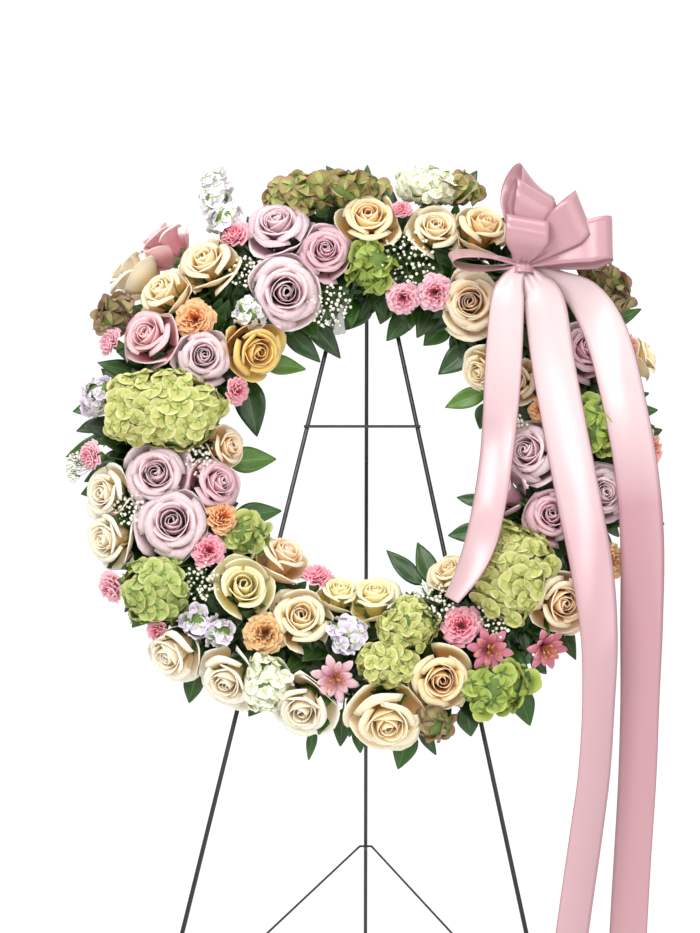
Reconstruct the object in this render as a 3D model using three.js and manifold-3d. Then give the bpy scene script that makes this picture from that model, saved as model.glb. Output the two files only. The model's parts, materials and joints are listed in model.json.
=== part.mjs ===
// A standing funeral wreath: a ring of wet floral foam in a tray, dressed with roses, hydrangeas, carnations,
// stock, baby's breath and leaves, with a satin bow. Four staples hold the ring to a folding wire easel.
// Millimetres, +Z up. The easel's front legs lean back, and the wreath lies against them.
import * as THREE from "three";
import { mergeVertices } from "three/addons/utils/BufferGeometryUtils.js";
import Module from "manifold-3d";

const wasm = await Module();
wasm.setup();

const degree = Math.PI / 180;
const clearance = 0.3;

// The easel
const leanAngle = 12 * degree; // of the front legs, back from upright
const virtualApex = 1357; // along the slope, where the two front legs would meet
const topBarAt = 1300; // along the slope, where the bent wire runs level and the back leg hangs
const leftFoot = -321;
const rightFoot = 276;
const backLegAngle = 15 * degree;
const backLegX = 1;
const frontWire = 5.5;
const backWire = 5;
const crossWire = 3.5;
const braceWire = 3;
const crossbarAt = 1046; // along the slope
const crossbarOverhang = 4;
const braceAt = 322; // along the slope, where the brace hooks round the front legs
const braceEyeDown = 843; // from the hinge down the back leg to the brace's eye

// The foam ring and its tray
const ringCentreAt = 1000; // along the slope
const ringRadius = 250; // to the middle of the foam
const ringSteps = 24;
const foamHalfWidth = 40;
const foamHalfHeight = 25;
const foamShoulder = 14; // the foam narrows by this much on each side
const foamShoulderAt = -10; // from here up to its front face
const trayWall = 2.2;
const trayRim = 4; // above the foam's back
const ringOffset = frontWire / 2 + clearance + trayWall + clearance + foamHalfHeight; // front legs to mid-foam

// The greens that cover the foam, in one length for each eighth of the ring
const sectors = 8;
const bedThickness = 4;
const bedGap = 0.5;

// The ribbon
const ribbonWidth = 52;
const ribbonThickness = 1;

// Flowers, as they show from the front: right of and above the ring's centre, then width and, for a wide
// head, height.
const heads = {
  pink_carnations_top: { kind: "carnation", colour: "pink", at: [[44, 187, 39], [83, 193, 43]] },
  cream_roses_top: { kind: "rose", colour: "cream", at: [[2, 286, 80], [84, 274, 66], [143, 278, 73]] },
  peach_rose_by_bow: { kind: "rose", colour: "peach", at: [[126, 180, 75]] },
  cream_roses_right_inner: { kind: "rose", colour: "cream", at: [[138, 97, 50], [181, 82, 54]] },
  cream_roses_upper_left: { kind: "rose", colour: "cream", at: [[-196, 232, 73], [-248, 196, 57], [-295, 236, 60]] },
  yellow_rose: { kind: "rose", colour: "yellow", at: [[-134, 122, 75]] },
  peach_rose_left_inner: { kind: "rose", colour: "peach", at: [[-167, 4, 50]] },
  ivory_roses_left: { kind: "rose", colour: "ivory", at: [[-313, -54, 62], [-309, -108, 66]] },
  cream_roses_lower_left: {
    kind: "rose",
    colour: "cream",
    at: [[-99, -129, 65], [-146, -171, 73], [-78, -205, 75], [-32, -173, 53], [9, -178, 66]],
  },
  ivory_roses_bottom_left: { kind: "rose", colour: "ivory", at: [[-231, -245, 71], [-164, -278, 72]] },
  ivory_rose_bottom: { kind: "rose", colour: "ivory", at: [[-75, -311, 75]] },
  cream_roses_bottom: { kind: "rose", colour: "cream", at: [[24, -325, 88], [86, -278, 77]] },
  cream_rose_lower_inner: { kind: "rose", colour: "cream", at: [[97, -149, 51]] },
  peach_rose_right: { kind: "rose", colour: "peach", at: [[230, -188, 76]] },
  cream_rose_right_edge: { kind: "rose", colour: "cream", at: [[341, 122, 47]] },
  mauve_roses_top: { kind: "rose", colour: "mauve", at: [[-109, 276, 80], [-50, 244, 68], [-99, 191, 90]] },
  mauve_rose_left_upper: { kind: "rose", colour: "mauve", at: [[-197, 112, 67]] },
  mauve_roses_left: { kind: "rose", colour: "mauve", at: [[-251, -34, 78], [-180, -43, 65], [-230, -93, 88]] },
  mauve_rose_right_upper: { kind: "rose", colour: "mauve", at: [[264, 121, 62]] },
  mauve_roses_right: {
    kind: "rose",
    colour: "mauve",
    at: [[195, -5, 74], [160, -53, 66], [220, -83, 63], [279, -56, 66]],
  },
  pink_rose_left: { kind: "rose", colour: "pink", at: [[-264, 138, 73]] },
  pink_rose_upper_left: { kind: "rose", colour: "pink", at: [[-255, 275, 55]] },
  green_hydrangea_left: { kind: "hydrangea", colour: "lime", at: [[-243, 46, 160, 107]] },
  green_hydrangea_right: { kind: "hydrangea", colour: "lime", at: [[170, -150, 106, 125]] },
  green_hydrangea_lower_left: { kind: "hydrangea", colour: "lime", at: [[-250, -173, 82, 86]] },
  green_hydrangea_left_inner: { kind: "hydrangea", colour: "lime", at: [[-139, -106, 52, 50]] },
  green_hydrangea_bottom: { kind: "hydrangea", colour: "lime", at: [[47, -214, 76, 67], [25, -261, 72, 57]] },
  white_hydrangea_top: { kind: "hydrangea", colour: "white", at: [[76, 335, 74, 56]] },
  white_hydrangea_bottom: { kind: "hydrangea", colour: "white", at: [[-118, -282, 61, 72]] },
  antique_hydrangea_top: { kind: "hydrangea", colour: "antique", at: [[-82, 322, 99, 66], [-18, 328, 86, 60]] },
  antique_hydrangea_inner: { kind: "hydrangea", colour: "antique", at: [[5, 225, 65, 67]] },
  antique_hydrangea_lower_right: { kind: "hydrangea", colour: "antique", at: [[154, -287, 92, 63]] },
  antique_hydrangea_upper_right: { kind: "hydrangea", colour: "antique", at: [[292, 207, 78, 66]] },
  antique_hydrangea_right: { kind: "hydrangea", colour: "antique", at: [[277, 29, 62, 84]] },
  stock_spike: { kind: "stock", colour: "white", at: [[-174, 293, 35], [-188, 332, 35], [-194, 356, 27]] },
};

// Small blooms that grow from the greens between the heads
const fillers = [
  ["carnation", -160, 268, 39],
  ["carnation", 43, 299, 26],
  ["carnation", -311, 136, 34],
  ["carnation", -157, 73, 31],
  ["carnation", -332, -6, 34],
  ["carnation", -188, -125, 40],
  ["carnation", -304, -165, 36],
  ["carnation", -247, -219, 29],
  ["carnation", -59, -154, 36],
  ["carnation", 338, 3, 43],
  ["carnation", 318, 132, 31],
  ["carnation", -208, 159, 48],
  ["carnation", -173, -85, 41],
  ["carnation", -120, -224, 49],
  ["carnation", 285, -137, 44],
  ["carnation", 210, 46, 32],
  ["carnation", 110, -215, 47],
  ["stock", -202, -212, 39],
  ["stock", -175, -222, 39],
  ["stock", -25, -225, 49],
  ["stock", -139, 168, 46],
  ["stock", -325, 66, 48],
  ["stock", 143, -243, 53],
  ["stock", 210, -240, 51],
  ["stock", -38, -277, 55],
  ["hydrangea", -308, 174, 53],
  ["hydrangea", 82, -328, 42],
  ["hydrangea", 122, 332, 44],
  ["breath", -145, 218, 43],
  ["breath", 49, 233, 63],
  ["breath", -47, 179, 47],
  ["breath", -198, -17, 36],
  ["breath", -282, -74, 38],
  ["breath", -197, -163, 43],
  ["breath", 76, -188, 49],
  ["breath", 148, -208, 43],
  ["breath", -354, -18, 30],
  ["breath", 178, 23, 34],
];

// Leaves at the edges: where each blade starts and ends, and its width
const leaves = [
  [-69, 171, -32, 131, 27],
  [-99, 162, -57, 126, 27],
  [-119, 113, -75, 117, 25],
  [-140, 97, -135, 31, 39],
  [-155, -2, -111, 3, 33],
  [-148, -64, -104, -62, 27],
  [2, 205, -26, 167, 35],
  [56, 186, 25, 153, 28],
  [102, 173, 71, 147, 31],
  [135, 145, 89, 110, 34],
  [134, 78, 97, 68, 25],
  [128, 62, 140, 40, 21],
  [127, -47, 110, -45, 16],
  [129, -79, 99, -93, 24],
  [59, -138, 24, -111, 22],
  [75, -143, 62, -101, 26],
  [-325, 74, -364, 63, 25],
  [-328, 51, -359, 38, 19],
  [-327, 36, -371, 5, 15],
  [-299, 9, -330, -19, 29],
  [-215, -271, -214, -298, 24],
  [-67, -347, -70, -366, 12],
  [-29, -313, -32, -350, 22],
  [-11, -338, -8, -358, 17],
  [55, -347, 37, -377, 30],
  [66, -344, 83, -360, 15],
  [124, -316, 125, -338, 28],
  [190, -294, 196, -325, 29],
  [206, -252, 217, -263, 17],
  [348, -70, 365, -79, 18],
  [-28, 372, -51, 384, 16],
  [-1, 365, 2, 385, 14],
  [336, 62, 361, 65, 19],
  [357, 31, 366, 40, 16],
  [125, 365, 141, 377, 21],
  [316, 181, 344, 195, 19],
];

const right = new THREE.Vector3(1, 0, 0);
const upSlope = new THREE.Vector3(0, Math.sin(leanAngle), Math.cos(leanAngle));
const outward = new THREE.Vector3(0, -Math.cos(leanAngle), Math.sin(leanAngle));

// A point of the easel's front: right, up the slope from the floor, and out from the front legs
function onSlope(x, up, out) {
  return new THREE.Vector3().addScaledVector(right, x).addScaledVector(upSlope, up).addScaledVector(outward, out);
}

// A point of the wreath: right, up the slope from the ring's centre, and out from mid-foam
function onWreath(x, y, out) {
  return onSlope(x, ringCentreAt + y, ringOffset + out);
}

const offset = (point, ...steps) => {
  const moved = point.clone();
  for (const [way, distance] of steps) moved.addScaledVector(way, distance);
  return moved;
};

// A closed geometry as a solid, its faces turned outwards
function solid(geometry) {
  geometry.deleteAttribute("normal");
  geometry.deleteAttribute("uv");
  const merged = mergeVertices(geometry, 1e-3);
  const vertProperties = merged.getAttribute("position").array;
  const triVerts = new Uint32Array(merged.index.array);
  const made = new wasm.Manifold(new wasm.Mesh({ numProp: 3, vertProperties, triVerts }));
  if (made.volume() > 0) return made;
  for (let i = 0; i < triVerts.length; i += 3) triVerts.subarray(i, i + 2).reverse();
  return new wasm.Manifold(new wasm.Mesh({ numProp: 3, vertProperties, triVerts }));
}

const fuse = (solids) => solids.reduce((all, one) => all.add(one));

// A skin over rings of points, with flat ends. A ring of one point is a tip. The sides named in mirrored have
// their quads split the other way.
function skin(rings, { closed = false, mirrored = [] } = {}) {
  const starts = rings.map((_, k) => rings.slice(0, k).flat().length);
  const faces = [];
  for (let k = 0; k < rings.length - (closed ? 0 : 1); k++) {
    const next = (k + 1) % rings.length;
    const near = (i) => starts[k] + (i % rings[k].length);
    const far = (i) => starts[next] + (i % rings[next].length);
    for (let i = 0; i < Math.max(rings[k].length, rings[next].length); i++) {
      if (mirrored.includes(i)) {
        faces.push(near(i), near(i + 1), far(i));
        faces.push(near(i + 1), far(i + 1), far(i));
        continue;
      }
      if (rings[k].length > 1) faces.push(near(i), near(i + 1), far(i + 1));
      if (rings[next].length > 1) faces.push(near(i), far(i + 1), far(i));
    }
  }
  for (const k of closed ? [] : [0, rings.length - 1]) {
    for (let i = 1; i + 1 < rings[k].length; i++) {
      const face = [starts[k], starts[k] + i, starts[k] + i + 1];
      faces.push(...(k ? face : face.reverse()));
    }
  }
  return new THREE.BufferGeometry().setFromPoints(rings.flat()).setIndex(faces);
}

function perpendicularTo(direction) {
  const other = Math.abs(direction.x) < 0.9 ? right.clone() : new THREE.Vector3(0, 1, 0);
  return other.addScaledVector(direction, -other.dot(direction)).normalize();
}

const polygonRound = (centre, across, up, radius, sides) =>
  Array.from({ length: sides }, (_, i) => {
    const angle = ((i + 0.5) / sides) * 2 * Math.PI;
    return offset(centre, [across, Math.cos(angle) * radius], [up, Math.sin(angle) * radius]);
  });

// A round wire or stem along a line of points
function wire(points, diameter, { sides = 8, closed = false } = {}) {
  const count = points.length;
  let across = null;
  const rings = points.map((point, k) => {
    const before = points[closed ? (k + count - 1) % count : Math.max(k - 1, 0)];
    const after = points[closed ? (k + 1) % count : Math.min(k + 1, count - 1)];
    const along = after.clone().sub(point).normalize().add(point.clone().sub(before).normalize()).normalize();
    across = across ? across.clone().addScaledVector(along, -across.dot(along)).normalize() : perpendicularTo(along);
    return polygonRound(point, across, along.clone().cross(across), diameter / 2, sides);
  });
  return solid(skin(rings, { closed }));
}

// The eye at the end of a wire, round an axis along X
function eye(centre, radius, diameter) {
  const ring = new THREE.TorusGeometry(radius, diameter / 2, 5, 10);
  return solid(ring.rotateY(Math.PI / 2).translate(...centre));
}

const belowFloor = solid(new THREE.BoxGeometry(2000, 2000, 100).translate(0, 0, -50));
const footOverrun = 8;
const legX = (foot, up) => (foot * (virtualApex - up)) / virtualApex;

// One wire makes both front legs: up one side, level across the top, and down the other
function frontLegs() {
  const bend = [
    [0, -14],
    [4.5, -5],
    [10, 0],
  ];
  const left = legX(leftFoot, topBarAt - 14);
  const rightLeg = legX(rightFoot, topBarAt - 14);
  const legs = wire(
    [
      onSlope(legX(leftFoot, -footOverrun), -footOverrun, 0),
      ...bend.map(([inward, up]) => onSlope(left + inward, topBarAt + up, 0)),
      ...bend.toReversed().map(([inward, up]) => onSlope(rightLeg - inward, topBarAt + up, 0)),
      onSlope(legX(rightFoot, -footOverrun), -footOverrun, 0),
    ],
    frontWire,
  );
  return legs.subtract(belowFloor);
}

function crossbar() {
  const out = frontWire / 2 + clearance + crossWire / 2;
  const from = onSlope(legX(leftFoot, crossbarAt) - crossbarOverhang, crossbarAt, out);
  const to = onSlope(legX(rightFoot, crossbarAt) + crossbarOverhang, crossbarAt, out);
  return wire([from, to], crossWire);
}

const hinge = onSlope(backLegX, topBarAt, 0);
const downBackLeg = new THREE.Vector3(0, Math.sin(backLegAngle), -Math.cos(backLegAngle));
const frontOfBackLeg = new THREE.Vector3(0, -Math.cos(backLegAngle), -Math.sin(backLegAngle));
const hingeEyeRadius = frontWire / 2 + 0.5 + backWire / 2;
const hingeEyeWire = 4;
const eyeWire = 3;
const braceEyeRadius = braceWire / 2 + 0.5 + eyeWire / 2;
const braceHingeOut = backWire / 2 + braceWire / 2 + 0.5;
const braceHinge = offset(hinge, [downBackLeg, braceEyeDown], [frontOfBackLeg, braceHingeOut]);

// The back leg hangs from an eye round the top bar, and carries the open eye that the brace turns in
function backLeg(thickness = backWire) {
  const length = (hinge.z + footOverrun) / Math.cos(backLegAngle);
  const from = offset(hinge, [downBackLeg, hingeEyeRadius + hingeEyeWire / 2 + clearance]);
  return wire([from, offset(hinge, [downBackLeg, length])], thickness).subtract(belowFloor);
}

const hingeEye = () => eye(hinge, hingeEyeRadius, hingeEyeWire);
const braceEye = () => eye(braceHinge, braceEyeRadius, eyeWire).subtract(backLeg(backWire + 2 * clearance));

// One bent wire: level through its eye on the back leg, then out to a hook in front of each front leg
function brace() {
  const halfBar = 8;
  const hookReach = 9;
  const clearOfLeg = frontWire / 2 + braceWire / 2 + 1.2;
  const arm = (foot) => {
    const side = Math.sign(foot);
    const leg = legX(foot, braceAt);
    return [
      offset(braceHinge, [right, side * halfBar]),
      onSlope(leg - side * (clearOfLeg + 2.5), braceAt, clearOfLeg - 2),
      onSlope(leg - side * clearOfLeg * 0.5, braceAt, clearOfLeg),
      onSlope(leg + side * hookReach, braceAt, clearOfLeg),
    ];
  };
  return wire([...arm(leftFoot).toReversed(), ...arm(rightFoot)], braceWire, { sides: 6 });
}

// A profile, [across from mid-foam, out from mid-foam], turned round the wreath's axis
function turnedRing(profile) {
  const outline = [...profile, profile[0]].map(([across, out]) => new THREE.Vector2(ringRadius + across, out));
  const place = new THREE.Matrix4().makeBasis(right, outward, upSlope.clone().negate());
  return solid(new THREE.LatheGeometry(outline, ringSteps).applyMatrix4(place).translate(...onWreath(0, 0, 0)));
}

const foamRing = () =>
  turnedRing([
    [-foamHalfWidth, -foamHalfHeight],
    [foamHalfWidth, -foamHalfHeight],
    [foamHalfWidth, foamShoulderAt],
    [foamHalfWidth - foamShoulder, foamHalfHeight],
    [foamShoulder - foamHalfWidth, foamHalfHeight],
    [-foamHalfWidth, foamShoulderAt],
  ]);

function ringTray() {
  const inside = foamHalfWidth + clearance;
  const outside = inside + trayWall;
  const floor = -foamHalfHeight - clearance;
  const rim = trayRim - foamHalfHeight;
  return turnedRing([
    [-outside, floor - trayWall],
    [outside, floor - trayWall],
    [outside, rim],
    [inside, rim],
    [inside, floor],
    [-inside, floor],
    [-inside, rim],
    [-outside, rim],
  ]);
}

// Overlapping leaves pinned over the foam's front and shoulders. Their tips make a toothed edge.
function bed(sector) {
  const steps = ringSteps / sectors;
  const trim = (1.5 * clearance) / (ringRadius - foamHalfWidth);
  const from = (sector * 2 * Math.PI) / sectors + trim;
  const to = ((sector + 1) * 2 * Math.PI) / sectors - trim;
  const shell = (grow, tooth) => {
    const edge = foamHalfWidth + grow * 1.1 - foamShoulder * tooth;
    const edgeOut = foamShoulderAt + (foamHalfHeight - foamShoulderAt) * tooth;
    const face = foamHalfWidth - foamShoulder + grow * 0.6;
    return [
      [edge, edgeOut],
      [face, foamHalfHeight + grow],
      [-face, foamHalfHeight + grow],
      [-edge, edgeOut],
    ];
  };
  const rings = Array.from({ length: steps + 1 }, (_, k) => {
    const angle = from + ((to - from) * k) / steps;
    const tooth = (k % 2) * 0.2;
    const section = [...shell(bedGap, tooth), ...shell(bedGap + bedThickness, tooth).toReversed()];
    return section.map(([across, out]) => {
      const radius = ringRadius + across;
      return onWreath(Math.cos(angle) * radius, Math.sin(angle) * radius, out);
    });
  });
  return solid(skin(rings));
}

const bedTop = foamHalfHeight + bedGap + bedThickness;
const bedHalfWidth = foamHalfWidth + bedGap + bedThickness;

// Half the width of the foam at a height, or of a skin that lies that far outside it
function bandHalfWidth(out, grow) {
  const narrowing = Math.max((out - foamShoulderAt) / (foamHalfHeight - foamShoulderAt), 0);
  return foamHalfWidth + grow * 1.1 - foamShoulder * narrowing;
}
const underside = { rose: 0.84, hydrangea: 0.62, carnation: 0.5, stock: 0.5, breath: 0.4 };

// Where a head stands: over the foam, highest in the middle of the band and tilted out towards its edges
function seat(kind, [x, y, width, height = width]) {
  const radius = Math.hypot(x, y);
  const across = radius - ringRadius;
  const deep = Math.min(width, height) / 2;
  const under = deep * underside[kind];
  const beside = Math.max(Math.abs(across) - bedHalfWidth, 0);
  const arch = 64 * Math.sqrt(Math.max(1 - (across / 122) ** 2, 0.01));
  const clear = beside < under ? bedTop + 1 + Math.sqrt(under ** 2 - beside ** 2) : 0;
  const out = Math.max(arch, clear);
  const tilt = Math.sign(across) * 70 * degree * Math.min(Math.abs(across) / 110, 1.1) ** 1.25;
  const radial = new THREE.Vector3().addScaledVector(right, x / radius).addScaledVector(upSlope, y / radius);
  const facing = new THREE.Vector3().addScaledVector(outward, Math.cos(tilt)).addScaledVector(radial, Math.sin(tilt));
  const sideways = perpendicularTo(facing);
  return {
    kind,
    across,
    out,
    tilt,
    deep,
    facing,
    sideways,
    upwards: facing.clone().cross(sideways),
    centre: onWreath(x, y, out),
    halfWidth: width / 2,
    halfHeight: height / 2,
  };
}

// How far a head reaches from its centre in a direction
function reachOf(head, direction) {
  const a = direction.dot(head.sideways) / head.halfWidth;
  const b = direction.dot(head.upwards) / head.halfHeight;
  const c = direction.dot(head.facing) / head.deep;
  return 1 / Math.hypot(a, b, c);
}

// Neighbouring heads press against each other in a plane between them
function planesBetween(head, others) {
  const planes = [];
  for (const other of others) {
    const way = other.centre.clone().sub(head.centre);
    const distance = way.length();
    way.normalize();
    const mine = reachOf(head, way);
    const theirs = reachOf(other, way);
    if (mine + theirs + 1 < distance) continue;
    planes.push({ way, limit: head.centre.dot(way) + (distance * mine) / (mine + theirs) - clearance / 2 });
  }
  return planes;
}

// A head as a relief round its axis. Rings run from the middle of the face to the stalk:
// [radius, height, and a function of the angle that widens and raises it].
function relief(head, rings, sides, planes, turn) {
  const columns = Array.from({ length: sides }, (_, i) => {
    const angle = (i / sides) * 2 * Math.PI + turn;
    const column = rings.map(([radius, height, shape]) => {
      const [widen, raise] = shape ? shape(angle, i) : [1, 0];
      const root = offset(head.centre, [head.facing, head.deep * (height + raise)]);
      const spoke = new THREE.Vector3()
        .addScaledVector(head.sideways, Math.cos(angle) * head.halfWidth * radius * widen)
        .addScaledVector(head.upwards, Math.sin(angle) * head.halfHeight * radius * widen);
      return { root, spoke };
    });
    let keep = 1;
    for (const { root, spoke } of column) {
      for (const { way, limit } of planes) {
        const rise = spoke.dot(way);
        if (rise > 1e-6) keep = Math.min(keep, Math.max((limit - root.dot(way)) / rise, 0.12));
      }
    }
    return column.map(({ root, spoke }) => offset(root, [spoke, keep]));
  });
  return solid(skin(rings.map(([radius], k) => (radius ? columns.map((column) => column[k]) : [columns[0][k]]))));
}

const wave = (count, widen, raise, phase) => (angle) => {
  const swing = Math.cos(count * angle + phase);
  return [1 + widen * swing, raise * swing];
};
const zigzag = (shift, narrow, raise) => (angle, i) => ((i + shift) % 2 ? [1, raise] : [narrow, -raise]);

const headForms = {
  // Petal rims and the furrows between them, wound tighter towards the middle
  rose: (head, planes, turn) => {
    const large = head.deep > 29;
    const inner = [
      [0, 0.26],
      [0.22, 0.46, wave(2, 0.2, 0.04, turn)],
      [0.32, 0.24, wave(2, 0.1, 0, turn)],
    ];
    const middle = [
      [0.6, 0.42, wave(3, 0.12, 0.07, turn + 1)],
      [0.66, 0.12, wave(3, 0.1, 0, turn + 1)],
    ];
    const outer = [
      [0.96, 0.02, wave(large ? 5 : 4, 0.05, 0.08, turn)],
      [0.6, -0.5],
      [0, -0.8],
    ];
    return relief(head, [...inner, ...middle, ...outer], head.deep < 28 ? 7 : 8, planes, turn);
  },
  // A dome studded with florets
  hydrangea: (head, planes, turn) => {
    const rings = [
      [0, 0.62],
      [0.4, 0.54, zigzag(0, 0.86, 0.07)],
      [0.72, 0.34, zigzag(1, 0.86, 0.08)],
      [0.98, 0, zigzag(0, 0.86, 0.08)],
      [0, -0.58],
    ];
    return relief(head, rings, Math.max(head.halfWidth, head.halfHeight) > 45 ? 14 : 12, planes, turn);
  },
  // Ruffled petals over a narrow green cup
  carnation: (head, planes, turn) => {
    const rings = [
      [0, 0.3],
      [0.5, 0.46, zigzag(0, 0.8, 0.1)],
      [1, 0, zigzag(1, 0.8, 0.14)],
      [0.36, -0.45],
      [0, -1.1],
    ];
    return relief(head, rings, 8, planes, turn);
  },
  // Open petals round a raised eye
  stock: (head, planes, turn) => {
    const rings = [
      [0, 0.3],
      [0.3, 0.12, zigzag(0, 0.8, 0.05)],
      [1, 0.2, zigzag(0, 0.62, 0.08)],
      [0.3, -0.3],
      [0, -0.8],
    ];
    return relief(head, rings, 8, planes, turn);
  },
  // Tiny round flowers on fine stalks that spread from one stem
  breath: (head, planes, turn) => {
    const blossoms = head.deep > 24 ? 5 : 4;
    const sprigs = Array.from({ length: blossoms }, (_, i) => {
      const root = offset(head.centre, [head.facing, -head.deep * 0.9 - i]);
      const angle = i * 2.4 + turn;
      const spread = head.deep * 0.84 * Math.sqrt((i + 0.4) / blossoms);
      const sideways = [head.sideways, Math.cos(angle) * spread];
      const tip = offset(head.centre, sideways, [head.upwards, Math.sin(angle) * spread], [head.facing, (i % 3) * 3]);
      for (const { way, limit } of planes) tip.addScaledVector(way, -Math.max(tip.dot(way) + 4 - limit, 0));
      const along = tip.clone().sub(root).normalize();
      const across = perpendicularTo(along);
      const round = (shift, radius) =>
        polygonRound(offset(tip, [along, shift]), across, along.clone().cross(across), radius, 3);
      return solid(skin([[root], round(-3, 0.9), round(0, 3.8), [offset(tip, [along, 2.5])]]));
    });
    return fuse(sprigs);
  },
};

const stemWidth = { rose: 4.4, hydrangea: 5, carnation: 3, stock: 3.4, breath: 3 };
const stalkFrom = { rose: 0.7, hydrangea: 0.48, carnation: 0.95, stock: 0.65, breath: 0.8 };
const stemInFoam = 14;

// How far behind a head's centre its axis enters the foam, or a skin that lies that far outside it
function depthTo(head, grow) {
  for (let depth = 0; depth < 160; depth += 0.5) {
    const across = Math.abs(head.across - Math.sin(head.tilt) * depth);
    const out = head.out - Math.cos(head.tilt) * depth;
    if (Math.abs(out) < foamHalfHeight + grow && across < bandHalfWidth(out, grow)) return depth;
  }
  return 0;
}

function stem(head, from, to, width) {
  return wire([offset(head.centre, [head.facing, -from]), offset(head.centre, [head.facing, -to])], width, { sides: 3 });
}

const sectorOf = (x, y) => Math.floor(((Math.atan2(y, x) / (2 * Math.PI) + 1) % 1) * sectors);
const seated = Object.entries(heads).flatMap(([name, { kind, at }]) =>
  at.map((place) => ({ name, ...seat(kind, place) })),
);
const fillerSeats = fillers.map(([kind, x, y, width]) => ({
  name: "greens_" + (sectorOf(x, y) + 1),
  ...seat(kind, [x, y, width]),
}));
seated.push(...fillerSeats);

const solids = {};
const stemHoles = [];

// The heads of one node grow from one branching stem
for (const [turn, name] of Object.keys(heads).entries()) {
  const own = seated.filter((head) => head.name === name);
  const others = seated.filter((head) => head.name !== name);
  const main = own[0];
  const width = stemWidth[main.kind];
  const calyx = (head) => offset(head.centre, [head.facing, -head.deep * 0.5]);
  const foamAt = depthTo(main, 0);
  const bedAt = depthTo(main, bedGap + bedThickness);
  let grown = stem(main, main.deep * stalkFrom[main.kind], foamAt + stemInFoam, width);
  stemHoles.push(stem(main, bedAt - 3, foamAt + stemInFoam + 1, width + 1.8));
  for (const [i, head] of own.entries()) {
    const bloom = headForms[head.kind](head, planesBetween(head, others), turn * 2.4 + i);
    const touching = grown.intersect(bloom).volume() > 100;
    grown = grown.add(bloom);
    if (i === 0 || touching) continue;
    const away = (other) => other.centre.distanceTo(head.centre);
    const [nearest] = own.slice(0, i).sort((a, b) => away(a) - away(b));
    grown = grown.add(wire([calyx(nearest), calyx(head)], width, { sides: 3 }));
  }
  solids[name] = grown;
}

// A leaf blade, folded a little along its midrib and bent back towards its tip, on its stalk from the greens
function leaf([baseX, baseY, tipX, tipY, width]) {
  const level = -13;
  const droop = 5;
  const thickness = 1.4;
  const radius = Math.hypot(baseX, baseY);
  const rootOut = 4;
  const edge = ringRadius + Math.sign(radius - ringRadius) * bandHalfWidth(rootOut, bedGap + bedThickness / 2);
  const root = onWreath((baseX / radius) * edge, (baseY / radius) * edge, rootOut);
  const base = onWreath(baseX, baseY, level);
  const along = onWreath(tipX, tipY, level - droop).sub(base);
  const side = along.clone().cross(outward).normalize();
  const row = (middle, half, fold, thick) => [
    offset(middle, [side, half], [outward, fold]),
    offset(middle, [outward, thick / 2]),
    offset(middle, [side, -half], [outward, fold]),
    offset(middle, [outward, -thick / 2]),
  ];
  const blade = skin([
    row(root, 1.2, 0, 2.4),
    row(base, 1.2, 0, 2.4),
    row(offset(base, [along, 0.38]), width / 2, 2.4, thickness),
    row(offset(base, [along, 0.76]), width * 0.32, 1.6, thickness),
    [offset(base, [along, 1])],
  ]);
  return { name: "greens_" + (sectorOf(baseX, baseY) + 1), solid: solid(blade) };
}

// The greens with their leaves and the small blooms that grow among them
const bladeSolids = leaves.map(leaf);
for (let k = 0; k < sectors; k++) {
  const name = "greens_" + (k + 1);
  const others = seated.filter((head) => head.name !== name);
  const parts = [bed(k)];
  for (const blade of bladeSolids) if (blade.name === name) parts.push(blade.solid);
  for (const [turn, head] of fillerSeats.entries()) {
    if (head.name !== name) continue;
    const bedAt = depthTo(head, bedGap + 1.5);
    parts.push(headForms[head.kind](head, planesBetween(head, others), turn));
    parts.push(stem(head, head.deep * stalkFrom[head.kind], bedAt, stemWidth[head.kind]));
  }
  solids[name] = stemHoles.reduce((greens, hole) => greens.subtract(hole), fuse(parts));
}

// The staples that hold the tray to the front legs: a crown behind the leg and two prongs into the foam
function staple(foot, upper) {
  const slope = foot / virtualApex;
  const apex = virtualApex - ringCentreAt;
  const a = 1 + slope * slope;
  const b = -2 * slope * slope * apex;
  const c = slope * slope * apex * apex - ringRadius * ringRadius;
  const y = (-b + (upper ? 1 : -1) * Math.sqrt(b * b - 4 * a * c)) / (2 * a);
  const x = slope * (apex - y);
  const thick = 2.4;
  const halfSpan = frontWire / 2 + thick + 2;
  const back = -ringOffset - frontWire / 2 - thick / 2 - 0.5;
  const end = -foamHalfHeight + 12;
  const bend = 1.8;
  const outline = [
    [-halfSpan, end],
    [-halfSpan, back + bend],
    [bend - halfSpan, back],
    [halfSpan - bend, back],
    [halfSpan, back + bend],
    [halfSpan, end],
  ];
  return outline.map(([side, out]) => onWreath(x + side, y, out));
}

const staples = {
  staple_upper_left: staple(leftFoot, true),
  staple_upper_right: staple(rightFoot, true),
  staple_lower_left: staple(leftFoot, false),
  staple_lower_right: staple(rightFoot, false),
};

// A strip of ribbon or film: where it runs, which way its width lies, and its width there
function strip(stations, thickness) {
  const rings = stations.map(({ point, across, width }, k) => {
    const before = stations[Math.max(k - 1, 0)].point;
    const after = stations[Math.min(k + 1, stations.length - 1)].point;
    const along = after.clone().sub(before).normalize();
    const side = across.clone().addScaledVector(along, -across.dot(along)).normalize();
    const thick = along.clone().cross(side);
    return [
      offset(point, [side, width / 2], [thick, thickness / 2]),
      offset(point, [side, -width / 2], [thick, thickness / 2]),
      offset(point, [side, -width / 2], [thick, -thickness / 2]),
      offset(point, [side, width / 2], [thick, -thickness / 2]),
    ];
  });
  return solid(skin(rings, { mirrored: [2] }));
}

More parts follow.
